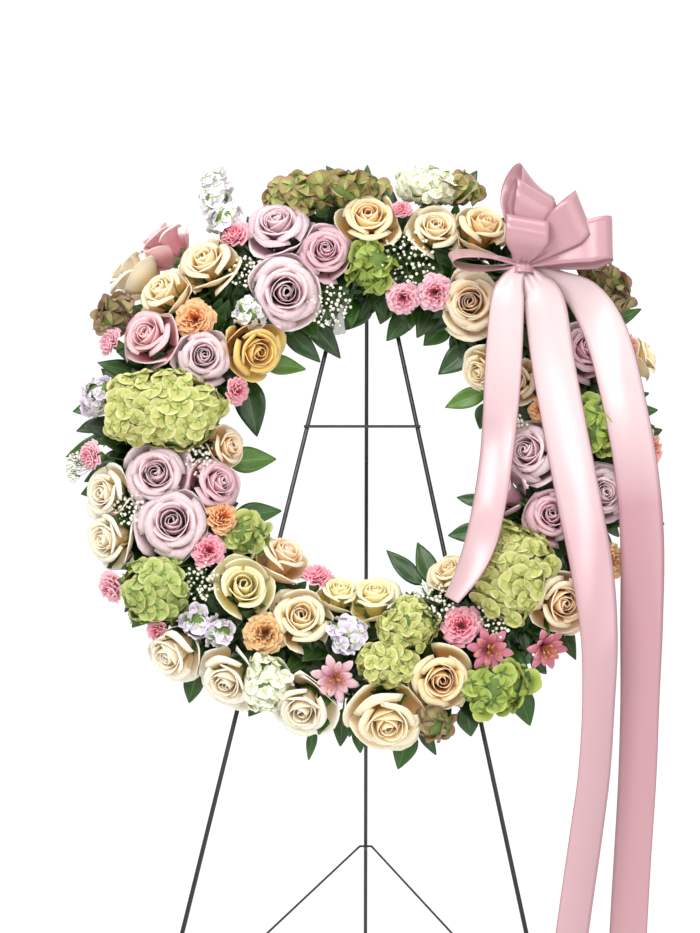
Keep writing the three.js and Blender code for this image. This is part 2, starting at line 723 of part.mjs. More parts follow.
// Bow loops: which way each points from the knot (right, up, out), its length, how fat it is and its roll
const knot = [186, 213, 108];
const bowLoops = [
  { toward: [-0.12, 1, 0], length: 112, fat: 34, roll: 10 },
  { toward: [0.45, 0.86, 0.35], length: 104, fat: 34, roll: -25 },
  { toward: [0.1, 0.6, 0.8], length: 66, fat: 34, roll: 5 },
  { toward: [0.85, 0.42, 0.45], length: 88, fat: 32, roll: -50 },
  { toward: [1, 0.16, 0], length: 110, fat: 32, roll: -75 },
  { toward: [-1, 0.02, 0.1], length: 84, fat: 24, roll: 80 },
];

function bowLoop({ toward: [x, y, out], length, fat, roll }) {
  const way = new THREE.Vector3().addScaledVector(right, x).addScaledVector(upSlope, y).addScaledVector(outward, out);
  way.normalize();
  const flat = way.clone().cross(outward).normalize().applyAxisAngle(way, roll * degree);
  const lifted = flat.clone().cross(way);
  const steps = 6;
  const stations = Array.from({ length: steps + 1 }, (_, i) => {
    const turn = (i / steps) * 2 * Math.PI;
    const along = (length * (1 - Math.cos(turn))) / 2;
    const lift = -fat * 0.65 * Math.sin(turn) * (0.35 + (0.65 * along) / length);
    const point = offset(onWreath(...knot), [way, along + 3], [lifted, lift]);
    return { point, across: flat, width: ribbonWidth * Math.min(1, 0.2 + (1.1 * along) / length) };
  });
  return strip(stations, ribbonThickness);
}

// The loops meet in a wrapped knot on a wooden pick, whose point is in the foam
const bowPick = [onWreath(...knot), onWreath(knot[0] - 8, knot[1] - 8, 12)];
function bow() {
  const knotRings = [-8, 0, 8].map((along) =>
    polygonRound(onWreath(knot[0], knot[1], knot[2] + along), right, upSlope, along ? 9 : 13, 8),
  );
  return fuse([solid(skin(knotRings)), ...bowLoops.map(bowLoop), wire(bowPick, 3, { sides: 4 })]);
}

// The tails, from the knot down over the flowers and then hanging free:
// [right, up, out, width, turn about the tail in degrees]
const tails = {
  ribbon_tail_left: [
    [183, 209, 112, 14, 0],
    [172, 190, 112, 30, 0],
    [167, 166, 110, 40, 0],
    [162, 94, 98, 44, 6],
    [158, 33, 88, 42, 10],
    [153, -16, 85, 40, 14],
    [144, -72, 90, 40, 14],
    [132, -122, 103, 40, 20],
    [117, -158, 106, 36, 30],
    [97, -190, 103, 26, 40],
  ],
  ribbon_tail_middle: [
    [188, 210, 107, 14, 0],
    [200, 191, 105, 34, 0],
    [212, 167, 102, 50, -4],
    [222, 94, 92, 52, 0],
    [236, 10, 86, 52, 4],
    [250, -73, 85, 52, 6],
    [263, -153, 86, 50, 0],
    [270, -232, 81, 44, -8],
    [269, -310, 64, 42, -20],
    [264, -387, 48, 44, -26],
    [254, -461, 32, 46, -28],
    [241, -550, 13, 46, -28],
    [226, -660, -10, 46, -28],
  ],
  ribbon_tail_right: [
    [193, 212, 102, 14, 0],
    [226, 198, 97, 26, 10],
    [261, 177, 92, 44, 12],
    [287, 130, 89, 52, 4],
    [306, 47, 87, 52, 0],
    [319, -33, 79, 52, 0],
    [325, -116, 67, 52, 0],
    [324, -211, 49, 50, 6],
    [322, -300, 30, 46, 14],
    [319, -387, 12, 46, 22],
    [314, -470, -6, 46, 26],
    [309, -552, -23, 46, 26],
    [302, -690, -53, 46, 26],
  ],
};

function tail(path) {
  const stations = path.map(([x, y, out, width, turn]) => {
    const across = right.clone().multiplyScalar(Math.cos(turn * degree));
    return { point: onWreath(x, y, out), across: offset(across, [outward, Math.sin(turn * degree)]), width };
  });
  return strip(stations, ribbonThickness);
}

// The loose end of the clear film round the foam, pleated, out of the tray's edge at the top of the hole
function film() {
  const facing = (90 + 180 / ringSteps) * degree;
  const wall = (ringRadius - foamHalfWidth - clearance - trayWall) * Math.cos(Math.PI / ringSteps);
  const sideways = 8;
  const pleats = 6;
  const stations = Array.from({ length: pleats }, (_, i) => {
    const inward = wall - clearance - i * 8;
    const aside = sideways + Math.max(i - 1, 0) * 1.5;
    const x = Math.cos(facing) * inward - Math.sin(facing) * aside;
    const y = Math.sin(facing) * inward + Math.cos(facing) * aside;
    const across = offset(right.clone().multiplyScalar(-Math.sin(facing)), [upSlope, Math.cos(facing)]);
    return { point: onWreath(x, y, i % 2 ? -25 : -22), across, width: 30 - i * 2 };
  });
  return strip(stations, 0.8);
}

solids.front_legs = frontLegs();
solids.crossbar = crossbar();
solids.back_leg = backLeg();
solids.hinge_eye = hingeEye();
solids.brace_eye = braceEye();
solids.brace = brace();
solids.foam_ring = foamRing();
solids.ring_tray = ringTray();
for (const [name, path] of Object.entries(staples)) {
  solids[name] = wire(path, 2.4, { sides: 4 });
  const hole = wire(path, 3.6, { sides: 4 });
  solids.foam_ring = solids.foam_ring.subtract(hole);
  solids.ring_tray = solids.ring_tray.subtract(hole);
}
const pickHole = wire([bowPick[0], offset(bowPick[1], [outward, -1.5])], 4.4, { sides: 4 });
for (const hole of [...stemHoles, pickHole]) solids.foam_ring = solids.foam_ring.subtract(hole);
solids.film_wrap = film();
solids.ribbon_bow = bow();
for (const [name, path] of Object.entries(tails)) solids[name] = tail(path);

const largestPart = (made) => made.decompose().sort((a, b) => b.volume() - a.volume())[0];

// What still reaches into another piece gives way to it, and keeps its largest part
function giveWay(name, others) {
  for (const other of others) {
    if (solids[name].intersect(solids[other]).volume() < 0.005) continue;
    const blocker = solids[other];
    const grown = [right, upSlope, outward].flatMap((way) => [way, way.clone().negate()]);
    let kept = solids[name];
    for (const way of grown) kept = kept.subtract(blocker.translate(way.clone().multiplyScalar(clearance).toArray()));
    solids[name] = largestPart(kept);
  }
}

const headNames = Object.keys(heads);
const greenNames = Array.from({ length: sectors }, (_, k) => "greens_" + (k + 1));
const ribbons = ["ribbon_bow", ...Object.keys(tails)];
for (const name of Object.keys(tails)) giveWay(name, ["ribbon_bow"]);
for (const [i, name] of headNames.entries()) giveWay(name, [...ribbons, ...headNames.slice(0, i)]);
for (const [i, name] of greenNames.entries()) {
  solids[name] = largestPart(solids[name].subtract(pickHole));
  giveWay(name, [...ribbons, ...headNames, "film_wrap", "foam_ring", ...greenNames.slice(0, i)]);
}

const petalColours = {
  cream: "#f3e3bf",
  peach: "#f3d3ae",
  yellow: "#e8c77a",
  ivory: "#f3ead6",
  mauve: "#b98fa6",
  pink: "#dfa3b0",
  lime: "#bfcf7a",
  white: "#dfe6c4",
  antique: "#7e8a4a",
  lavender: "#b9a9cf",
};
const painted = { color: "#16211f", roughness: 0.4, metalness: 0.3 };
const satin = { color: "#e0a9b4", roughness: 0.35, metalness: 0 };
const steel = { color: "#5c605c", roughness: 0.4, metalness: 0.8 };
const finishes = {
  front_legs: painted,
  crossbar: painted,
  back_leg: painted,
  hinge_eye: painted,
  brace_eye: painted,
  brace: painted,
  foam_ring: { color: "#2f5a36", roughness: 0.95, metalness: 0 },
  ring_tray: { color: "#1f3b2a", roughness: 0.5, metalness: 0 },
  film_wrap: { color: "#dfe6e2", roughness: 0.2, metalness: 0 },
};
for (const name of ribbons) finishes[name] = satin;
for (const name of Object.keys(staples)) finishes[name] = steel;
for (const name of greenNames) finishes[name] = { color: "#2f5a23", roughness: 0.6, metalness: 0 };
for (const name of headNames) finishes[name] = { color: petalColours[heads[name].colour], roughness: 0.7, metalness: 0 };

function geometryOf(made) {
  const { numProp, vertProperties, triVerts } = made.getMesh();
  const positions = vertProperties.filter((_, i) => i % numProp < 3);
  const geometry = new THREE.BufferGeometry();
  geometry.setAttribute("position", new THREE.BufferAttribute(positions, 3));
  geometry.setIndex(new THREE.BufferAttribute(triVerts, 1));
  geometry.computeVertexNormals();
  return geometry;
}

const wreath = new THREE.Group();
for (const [name, made] of Object.entries(solids)) {
  const mesh = new THREE.Mesh(geometryOf(made), new THREE.MeshStandardMaterial(finishes[name]));
  mesh.name = name;
  wreath.add(mesh);
}

// The origin is on the floor, under the middle of the whole object
const bounds = new THREE.Box3().setFromObject(wreath);
const middle = bounds.getCenter(new THREE.Vector3());
wreath.position.set(-middle.x, -middle.y, -bounds.min.z);

export default wreath;
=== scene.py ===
# A standing funeral wreath: roses, hydrangeas, carnations and leaves on a foam ring, with a satin bow,
# on a folding wire easel. Sizes of flowers are in millimetres as they show from the front.
import json
import math
import random

import bpy
import numpy as np
from mathutils import Matrix, Vector

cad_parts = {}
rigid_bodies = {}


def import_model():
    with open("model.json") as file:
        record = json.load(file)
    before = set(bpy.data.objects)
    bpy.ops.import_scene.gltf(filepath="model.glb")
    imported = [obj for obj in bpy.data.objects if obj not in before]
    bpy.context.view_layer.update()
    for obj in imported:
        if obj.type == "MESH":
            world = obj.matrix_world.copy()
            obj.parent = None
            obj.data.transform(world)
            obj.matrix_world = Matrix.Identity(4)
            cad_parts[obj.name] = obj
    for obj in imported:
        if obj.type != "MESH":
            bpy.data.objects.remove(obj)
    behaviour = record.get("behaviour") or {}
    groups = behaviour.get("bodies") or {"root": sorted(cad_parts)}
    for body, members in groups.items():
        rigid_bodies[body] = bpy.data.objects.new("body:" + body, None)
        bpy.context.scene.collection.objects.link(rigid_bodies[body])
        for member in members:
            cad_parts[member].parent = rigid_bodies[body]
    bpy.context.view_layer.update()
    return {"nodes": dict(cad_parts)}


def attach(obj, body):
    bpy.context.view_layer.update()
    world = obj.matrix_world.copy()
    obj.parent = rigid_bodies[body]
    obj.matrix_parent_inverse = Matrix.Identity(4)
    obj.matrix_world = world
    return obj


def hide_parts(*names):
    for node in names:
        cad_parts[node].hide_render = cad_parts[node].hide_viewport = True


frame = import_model()
print("frame loaded,", len(frame["nodes"]), "nodes")

easel = {
    "lean": math.radians(12),
    "middle": Vector((0.00177, -0.3054, 0)),  # on the floor, between the front feet
    "apexUp": 1.357,
    "topBarUp": 1.300,
    "leftFoot": -0.321,
    "rightFoot": 0.276,
    "backLegAngle": math.radians(15),
    "frontWire": 0.0055,
    "backWire": 0.005,
    "crossWire": 0.0035,
    "braceWire": 0.003,
    "crossbarUp": 1.046,
    "braceUp": 0.322,
    "braceEyeDown": 0.843,
    "eyeWire": 0.003,
    "eyeGap": 0.0005,
    "hookGap": 0.0012,
}
ring = {
    "centreUp": 1.000,
    "radius": 0.250,
    "midFoamOut": 0.03055,  # from the front legs' wire
    "halfWidth": 0.040,
    "halfHeight": 0.025,
    "shoulder": 0.014,
    "shoulderAt": -0.010,
    "trayWall": 0.0022,
    "trayRim": 0.004,
    "gap": 0.0003,
}
right = Vector((1, 0, 0))
upSlope = Vector((0, math.sin(easel["lean"]), math.cos(easel["lean"])))
outward = Vector((0, -math.cos(easel["lean"]), math.sin(easel["lean"])))


def onSlope(x, up, out):
    return easel["middle"] + right * x + upSlope * up + outward * out


def onWreath(x, y, out):
    # millimetres right of and above the ring's centre, and out from mid-foam
    return onSlope(x / 1000, ring["centreUp"] + y / 1000, ring["midFoamOut"] + out / 1000)


def linear(hexColour):
    values = [int(hexColour[i : i + 2], 16) / 255 for i in (1, 3, 5)]
    return tuple(v / 12.92 if v <= 0.04045 else ((v + 0.055) / 1.055) ** 2.4 for v in values) + (1,)


def liveOutput(node):
    return next(output for output in node.outputs if output.enabled)


def addNode(tree, kind, inputs=None, **settings):
    # a node with its settings and links; a node given as an input stands for its first live output
    node = tree.nodes.new(kind)
    for key, value in settings.items():
        setattr(node, key, value)
    for key, value in (inputs or {}).items():
        if isinstance(value, bpy.types.Node):
            value = liveOutput(value)
        if isinstance(value, bpy.types.NodeSocket):
            tree.links.new(value, node.inputs[key])
        else:
            node.inputs[key].default_value = value
    return node


# Materials


def newFinish(name, sockets):
    finish = bpy.data.materials.new(name)
    finish.use_nodes = True
    shader = finish.node_tree.nodes["Principled BSDF"]
    for key, value in sockets.items():
        shader.inputs[key].default_value = value
    return finish, finish.node_tree


def layered(tree, base, layers):
    # colours over a base: what each follows, from where to where, its least and most, and its colour
    colour = linear(base)
    for follows, start, end, least, most, tone in layers:
        mask = addNode(tree, "ShaderNodeMapRange", {0: follows, 1: start, 2: end, 3: least, 4: most})
        colour = addNode(tree, "ShaderNodeMix", {0: mask, 6: colour, 7: linear(tone)}, data_type="RGBA")
    return colour


def endFinish(finish, colour, relief, strength, depth, roughness=None):
    # the colour and the relief, and the roughness where it varies, joined to the shader
    tree = finish.node_tree
    shader = tree.nodes["Principled BSDF"]
    bump = addNode(tree, "ShaderNodeBump", {"Strength": strength, "Distance": depth, "Height": relief})
    for node, socket in ((colour, "Base Color"), (bump, "Normal"), (roughness, "Roughness")):
        if node:
            tree.links.new(liveOutput(node), shader.inputs[socket])
    return finish


def petalFinish(name, face, heart, rim, root):
    # a living rose or carnation petal: translucent, softly velvety, deeper in colour towards its root, partly
    # its own colour and partly painted shade where the petals crowd
    sockets = {
        "Roughness": 0.5,
        "Subsurface Weight": 0.35,
        "Subsurface Radius": (1.0, 0.6, 0.5),
        "Subsurface Scale": 0.007,
        "Sheen Weight": 0.1,
        "Sheen Roughness": 0.5,
    }
    finish, tree = newFinish(name, sockets)
    sheet = addNode(tree, "ShaderNodeUVMap", uv_map="sheet")
    along = addNode(tree, "ShaderNodeSeparateXYZ", {0: sheet}).outputs[1]
    heartness = addNode(tree, "ShaderNodeAttribute", attribute_name="heart").outputs["Fac"]
    drawn = addNode(tree, "ShaderNodeVectorMath", {0: sheet, 1: (34, 3, 0)}, operation="MULTIPLY")
    veins = addNode(tree, "ShaderNodeTexNoise", {"Vector": drawn, "Scale": 1.0, "Detail": 3.0})
    blotch = addNode(tree, "ShaderNodeTexNoise", {"Scale": 70.0, "Detail": 2.0})
    layers = [
        (heartness, 0, 1, 0, 1, heart),
        # painted shade in part: the lower petal is painted in the root colour, partly its own deeper colour
        # and partly the shade between crowded petals
        (along, 0.75, 0.3, 0, 1, root),
        (along, 0.84, 1.0, 0, 0.75, rim),
        (veins, 0.35, 0.7, 0, 0.16, root),
        (blotch, 0.42, 0.7, 0, 0.22, rim),
    ]
    return endFinish(finish, layered(tree, face, layers), veins, 0.25, 0.0004)


def floretFinish(name, face, other, rim, eye):
    # hydrangea and stock florets: thin matt petals, each floret of its own shade
    sockets = {"Roughness": 0.5, "Subsurface Weight": 0.2, "Subsurface Scale": 0.003, "Sheen Weight": 0.1}
    finish, tree = newFinish(name, sockets)
    sheet = addNode(tree, "ShaderNodeUVMap", uv_map="sheet")
    along = addNode(tree, "ShaderNodeSeparateXYZ", {0: sheet}).outputs[1]
    shade = addNode(tree, "ShaderNodeAttribute", attribute_name="shade").outputs["Fac"]
    spread = addNode(tree, "ShaderNodeTexNoise", {"Scale": 190.0, "Detail": 2.0})
    blushing = addNode(tree, "ShaderNodeMath", {0: spread, 1: 0.5, 2: along}, operation="MULTIPLY_ADD")
    drawn = addNode(tree, "ShaderNodeVectorMath", {0: sheet, 1: (9, 2, 0)}, operation="MULTIPLY")
    cells = addNode(
        tree, "ShaderNodeTexVoronoi", {"Vector": drawn, "Scale": 1.6}, feature="DISTANCE_TO_EDGE"
    )
    veins = addNode(tree, "ShaderNodeMapRange", {0: cells, 1: 0.0, 2: 0.12})
    layers = [
        (shade, 0, 1, 0, 1, other),
        (blushing, 0.87, 1.25, 0, 0.9, rim),
        (along, 0.16, 0.04, 0, 1, eye),
    ]
    return endFinish(finish, layered(tree, face, layers), veins, 0.2, 0.0005)


def leafFinish(name, face, deep, vein, roughness):
    # a waxy evergreen leaf with a pale midrib and side veins that run up to the margin
    sockets = {"Roughness": float(roughness), "Coat Weight": 0.12, "Coat Roughness": 0.3}
    finish, tree = newFinish(name, sockets)
    sheet = addNode(tree, "ShaderNodeUVMap", uv_map="sheet")
    across, along, _ = addNode(tree, "ShaderNodeSeparateXYZ", {0: sheet}).outputs
    offset = addNode(tree, "ShaderNodeMath", {0: across, 1: 0.5}, operation="SUBTRACT")
    fromRib = addNode(tree, "ShaderNodeMath", {0: offset}, operation="ABSOLUTE")
    blotch = addNode(tree, "ShaderNodeTexNoise", {"Scale": 45.0, "Detail": 3.0})
    shade = addNode(tree, "ShaderNodeAttribute", attribute_name="shade").outputs["Fac"]
    half = addNode(tree, "ShaderNodeMath", {0: blotch, 1: 0.5}, operation="MULTIPLY")
    tone = addNode(tree, "ShaderNodeMath", {0: shade, 1: 0.6, 2: half}, operation="MULTIPLY_ADD")
    climb = addNode(tree, "ShaderNodeMath", {0: along, 1: 46}, operation="MULTIPLY")
    slant = addNode(tree, "ShaderNodeMath", {0: fromRib, 1: -52, 2: climb}, operation="MULTIPLY_ADD")
    wave = addNode(tree, "ShaderNodeMath", {0: slant}, operation="SINE")
    sideVeins = addNode(tree, "ShaderNodeMapRange", {0: wave, 1: 0.9, 2: 1.0, 4: 0.3})
    rib = addNode(tree, "ShaderNodeMapRange", {0: fromRib, 1: 0.035, 2: 0.008})
    veins = addNode(tree, "ShaderNodeMath", {0: rib, 1: sideVeins}, operation="MAXIMUM")
    relief = addNode(tree, "ShaderNodeMath", {0: 1.0, 1: veins}, operation="SUBTRACT")
    colour = layered(tree, deep, [(tone, 0.15, 0.95, 0, 1, face), (veins, 0, 1, 0, 0.55, vein)])
    return endFinish(finish, colour, relief, 0.35, 0.0006)


def satinFinish():
    # double-faced satin ribbon: floats of the weave run along it, with a woven selvedge at each edge
    sockets = {
        "Roughness": 0.27,
        "Anisotropic": 0.5,
        "Sheen Weight": 0.35,
        "Sheen Roughness": 0.3,
        "Sheen Tint": linear("#FFECEE"),
        "Specular IOR Level": 0.8,
        "Specular Tint": linear("#FFF1F2"),
    }
    finish, tree = newFinish("pinkSatinRibbon", sockets)
    sheet = addNode(tree, "ShaderNodeUVMap", uv_map="sheet")
    across = addNode(tree, "ShaderNodeSeparateXYZ", {0: sheet}).outputs[0]
    offset = addNode(tree, "ShaderNodeMath", {0: across, 1: 0.5}, operation="SUBTRACT")
    fromMiddle = addNode(tree, "ShaderNodeMath", {0: offset}, operation="ABSOLUTE")
    shade = addNode(tree, "ShaderNodeAttribute", attribute_name="shade").outputs["Fac"]
    drawn = addNode(tree, "ShaderNodeVectorMath", {0: sheet, 1: (170, 60, 0)}, operation="MULTIPLY")
    floats = addNode(tree, "ShaderNodeTexNoise", {"Vector": drawn, "Scale": 1.0, "Detail": 2.0})
    # painted highlight: where its shade attribute is high the satin is painted lighter towards #D9C2C3,
    # standing in for light on the ribbon
    layers = [(shade, 0, 1, 0, 1, "#D9C2C3"), (fromMiddle, 0.475, 0.49, 0, 1, "#A6707B")]
    return endFinish(finish, layered(tree, "#AE7882", layers), floats, 0.12, 0.0002)


def paintFinish():
    # dark green gloss enamel on drawn steel wire, a little uneven where it ran
    sockets = {"Roughness": 0.3, "Coat Weight": 0.3, "Coat Roughness": 0.15}
    finish, tree = newFinish("darkGreenEnamel", sockets)
    cloud = addNode(tree, "ShaderNodeTexNoise", {"Scale": 60.0, "Detail": 4.0})
    fine = addNode(tree, "ShaderNodeTexNoise", {"Scale": 900.0, "Detail": 2.0})
    roughness = addNode(tree, "ShaderNodeMapRange", {0: cloud, 1: 0.2, 2: 0.8, 3: 0.24, 4: 0.42})
    colour = layered(tree, "#0B1210", [(cloud, 0, 1, 0, 1, "#151E1C")])
    return endFinish(finish, colour, fine, 0.1, 0.0002, roughness)


def foamFinish():
    # wet floral foam: dark green, with open pores of about half a millimetre, painted darker inside them as
    # painted shade
    finish, tree = newFinish("wetFloralFoam", {"Roughness": 0.92})
    pores = addNode(tree, "ShaderNodeTexVoronoi", {"Scale": 1500.0})
    damp = addNode(tree, "ShaderNodeTexNoise", {"Scale": 25.0, "Detail": 4.0})
    # painted shade: the pores are painted darker towards #12281A, standing in for the shade inside the holes
    layers = [(damp, 0, 1, 0, 1, "#376B3F"), (pores, 0.0, 0.5, 0.5, 0.0, "#12281A")]
    return endFinish(finish, layered(tree, "#20472B", layers), pores, 0.6, 0.0008)


def trayFinish():
    # moulded dark green polypropylene with a fine spark-eroded grain
    finish, tree = newFinish("mouldedTrayPlastic", {"Roughness": 0.42})
    grain = addNode(tree, "ShaderNodeTexNoise", {"Scale": 1400.0, "Detail": 2.0})
    scuffs = addNode(tree, "ShaderNodeTexNoise", {"Scale": 30.0, "Detail": 6.0})
    roughness = addNode(tree, "ShaderNodeMapRange", {0: scuffs, 1: 0.3, 2: 0.7, 3: 0.36, 4: 0.55})
    colour = layered(tree, "#16301F", [(scuffs, 0, 1, 0, 1, "#234630")])
    return endFinish(finish, colour, grain, 0.15, 0.0002, roughness)


def filmFinish():
    # clear cellophane: thin, crumpled and glossy
    sockets = {"Roughness": 0.06, "IOR": 1.5, "Alpha": 0.38, "Specular IOR Level": 0.9}
    finish, tree = newFinish("clearFilm", sockets)
    creases = addNode(tree, "ShaderNodeTexVoronoi", {"Scale": 120.0}, feature="DISTANCE_TO_EDGE")
    cloud = addNode(tree, "ShaderNodeTexNoise", {"Scale": 160.0, "Detail": 3.0})
    crumple = addNode(tree, "ShaderNodeMath", {0: creases, 1: cloud}, operation="ADD")
    colour = layered(tree, "#C9D2CD", [(cloud, 0, 1, 0, 1, "#FFFFFF")])
    return endFinish(finish, colour, crumple, 0.9, 0.004)


def grainedFinish(name, light, dark, roughness, scale=300, metallic=0):
    # plain small pieces: stems, picks and staples, with a fine streaked grain
    finish, tree = newFinish(name, {"Roughness": float(roughness), "Metallic": float(metallic)})
    grain = addNode(tree, "ShaderNodeTexNoise", {"Scale": float(scale), "Detail": 4.0, "Distortion": 0.6})
    return endFinish(finish, layered(tree, dark, [(grain, 0, 1, 0, 1, light)]), grain, 0.2, 0.0003)


petalTones = {
    # the finish's name, then the colours of the petal's face, heart, rim and root; the root colour is partly
    # the petal's own and partly painted shade
    "cream": "creamRosePetal #FDEABC #F7C660 #FFF6DF #EBB455",
    "lemon": "paleLemonRosePetal #FAEFB6 #F6DB6C #FDF8DC #EDD162",
    "amber": "amberHeartedRosePetal #FCE3A6 #F49F1C #FEF1D4 #E89F30",
    "peach": "peachRosePetal #FBDFB2 #F1A244 #FDF0DA #E8A85C",
    "golden": "goldenRosePetal #F2C65E #DE881C #F9DE96 #D88824",
    "ivory": "ivoryRosePetal #FCF0D4 #F6DA9A #FFFAF0 #EECB8C",
    "mauve": "mauveRosePetal #F0CACE #C58F9B #FAE6E8 #B67887",
    "rosyMauve": "rosyMauveRosePetal #E8AFB9 #C8889C #F5D5D9 #BC5F76",
    "pink": "pinkRosePetal #F2BDC0 #E4969C #F9DCDC #D4757F",
    "hotPink": "hotPinkCarnationPetal #F590A6 #E45A78 #FBC0CA #CF4260",
    "softPink": "softPinkCarnationPetal #F3A6B6 #DC6482 #FACED6 #C85672",
    "coral": "coralCarnationPetal #EE9582 #D6624E #F6BAA6 #BC4C3C",
    "orange": "orangeCarnationPetal #F4A66A #E27A34 #FACC9E #C86224",
    "tan": "tanCarnationPetal #E6AE70 #C47E3A #F4CF9C #A2601F",
    "magenta": "magentaLilyPetal #CC6880 #DA9A54 #E196A4 #A43E58",
}
floretTones = {
    # the finish's name, then the colours of one floret, of another, of the rims and of the eye
    "lime": "limeHydrangeaFloret #AFB356 #C4C276 #DAD69A #7F9236",
    "leafyLime": "leafyLimeHydrangeaFloret #96A846 #B2BA6C #C6CA88 #647F2A",
    "whiteGreen": "whiteGreenHydrangeaFloret #E6E9C4 #F4F2DC #FBF9EC #B8C470",
    "antique": "antiqueHydrangeaFloret #A5B654 #AC8E68 #AE7A70 #748F38",
    "olive": "oliveHydrangeaFloret #7C9634 #AEBE54 #BCC66E #4E6820",
    "dusky": "duskyHydrangeaFloret #948258 #A0965E #925258 #667230",
    "lavender": "lavenderStockFloret #D6C6DA #E8DCE8 #F3EBF2 #AFC07A",
    "whiteStock": "whiteStockFloret #E8DEE6 #F4F0F2 #FCFAFA #A6B970",
}
leafTones = {
    # the finish's name, its colours where new, old and veined, and its roughness
    "leaf": "glossyEvergreenLeaf #2F6010 #123206 #6F9640 0.36",
    # a lighter, yellower copy of the leaf finish, used for the few edge leaves marked bright
    "brightLeaf": "youngEvergreenLeaf #5C8A20 #32600E #92B450 0.38",
    "shadeLeaf": "shadedFillerLeaf #2F5214 #122C08 #557F30 0.46",
}
grainedTones = {
    # the finish's name, light and dark of its grain, roughness, fineness of the grain, and 1 for metal
    "stem": "greenFlowerStem #6C8F45 #41662C 0.55",
    "core": "floretStalks #7C9446 #3F5A22 0.7 500",
    "breath": "babysBreathBlossom #F8F6E8 #E9E7D2 0.6 800",
    "sprig": "babysBreathStalk #7E9660 #55703C 0.6",
    "stamen": "pollenStamen #E2B23C #A8681C 0.7 900",
    "steel": "stapleSteel #8B8F8E #6A6E6D 0.38 700 1",
    "wood": "flowerPickWood #CDA873 #A67C48 0.65 220",
    "floor": "palePaperSweep #E2E2E2 #DFDFDF 0.85 6",
}
finishes = {
    "satin": satinFinish(),
    "paint": paintFinish(),
    "foam": foamFinish(),
    "tray": trayFinish(),
    "film": filmFinish(),
}
for maker, tones in (
    (petalFinish, petalTones),
    (floretFinish, floretTones),
    (leafFinish, leafTones),
    (grainedFinish, grainedTones),
):
    for key, row in tones.items():
        finishes[key] = maker(*row.split())
print("finishes made:", len(finishes))


# Sheets: a grid of points with a thickness, as one closed shell


def gridFaces(rows, columns):
    i, j = np.meshgrid(np.arange(rows - 1), np.arange(columns - 1), indexing="ij")
    a = (i * columns + j).ravel()
    return np.stack([a, a + columns, a + columns + 1, a + 1], axis=1)


def rimFaces(rows, columns):
    walk = [i * columns for i in range(rows)]
    walk += [(rows - 1) * columns + j for j in range(1, columns)]
    walk += [i * columns + columns - 1 for i in range(rows - 2, -1, -1)]
    walk += [j for j in range(columns - 2, 0, -1)]
    here = np.array(walk)
    there = np.roll(here, -1)
    below = rows * columns
    return np.stack([there, here, here + below, there + below], axis=1)


def sheetShape(points, thickness, finish, heart=0.0, shade=0.5):
    # points is rows x columns x 3; rows run across the sheet and columns along it
    rows, columns = points.shape[:2]
    normals = np.cross(np.gradient(points, axis=0), np.gradient(points, axis=1))
    normals /= np.maximum(np.linalg.norm(normals, axis=2, keepdims=True), 1e-12)
    faces = gridFaces(rows, columns)
    across, along = np.meshgrid(np.linspace(0, 1, rows), np.linspace(0, 1, columns), indexing="ij")
    uv = np.stack([across.ravel(), along.ravel()], axis=1)
    if thickness:
        top = (points + normals * thickness / 2).reshape(-1, 3)
        bottom = (points - normals * thickness / 2).reshape(-1, 3)
        allPoints = np.concatenate([top, bottom])
        allFaces = np.concatenate([faces, faces[:, ::-1] + rows * columns, rimFaces(rows, columns)])
        allUv = np.concatenate([uv, uv])
    else:
        allPoints, allFaces, allUv = points.reshape(-1, 3), faces, uv
    size = len(allPoints)
    shades = np.broadcast_to(shade, (rows, columns)).ravel()
    return {
        "points": allPoints,
        "faces": allFaces,
        "uv": allUv,
        "heart": np.full(size, heart),
        "shade": np.tile(shades, size // len(shades)),
        "finish": finish,
    }


def meshOf(name, shapes):
    # one mesh from many shapes, with a material slot for each finish among them
    slots = sorted({shape["finish"] for shape in shapes})
    counts = np.cumsum([0] + [len(shape["points"]) for shape in shapes])
    points = np.concatenate([shape["points"] for shape in shapes])
    faces = np.concatenate([shape["faces"] + start for shape, start in zip(shapes, counts)])
    slotOf = [np.full(len(shape["faces"]), slots.index(shape["finish"])) for shape in shapes]
    mesh = bpy.data.meshes.new(name)
    mesh.vertices.add(len(points))
    mesh.vertices.foreach_set("co", points.astype(np.float32).ravel())
    mesh.loops.add(faces.size)
    mesh.loops.foreach_set("vertex_index", faces.astype(np.int32).ravel())
    mesh.polygons.add(len(faces))
    mesh.polygons.foreach_set("loop_start", np.arange(0, faces.size, faces.shape[1], dtype=np.int32))
    mesh.polygons.foreach_set("material_index", np.concatenate(slotOf).astype(np.int32))
    mesh.polygons.foreach_set("use_smooth", np.ones(len(faces), dtype=bool))
    uv = np.concatenate([shape["uv"] for shape in shapes])[faces.ravel()]
    mesh.uv_layers.new(name="sheet").data.foreach_set("uv", uv.astype(np.float32).ravel())
    for key in ("heart", "shade"):
        values = np.concatenate([shape[key] for shape in shapes]).astype(np.float32)
        mesh.attributes.new(key, "FLOAT", "POINT").data.foreach_set("value", values)
    for slot in slots:
        mesh.materials.append(finishes[slot])
    mesh.validate()
    mesh.update()
    return mesh


def placed(mesh):
    thing = bpy.data.objects.new(mesh.name, mesh)
    bpy.context.scene.collection.objects.link(thing)
    return thing


def joined(name, meshes):
    things = [placed(mesh) for mesh in meshes]
    if len(things) > 1:
        first = {"active_object": things[0], "object": things[0]}
        with bpy.context.temp_override(**first, selected_editable_objects=things):
            bpy.ops.object.join()
    things[0].name = name
    things[0].data.name = name
    return things[0]


# Geometry Nodes trees


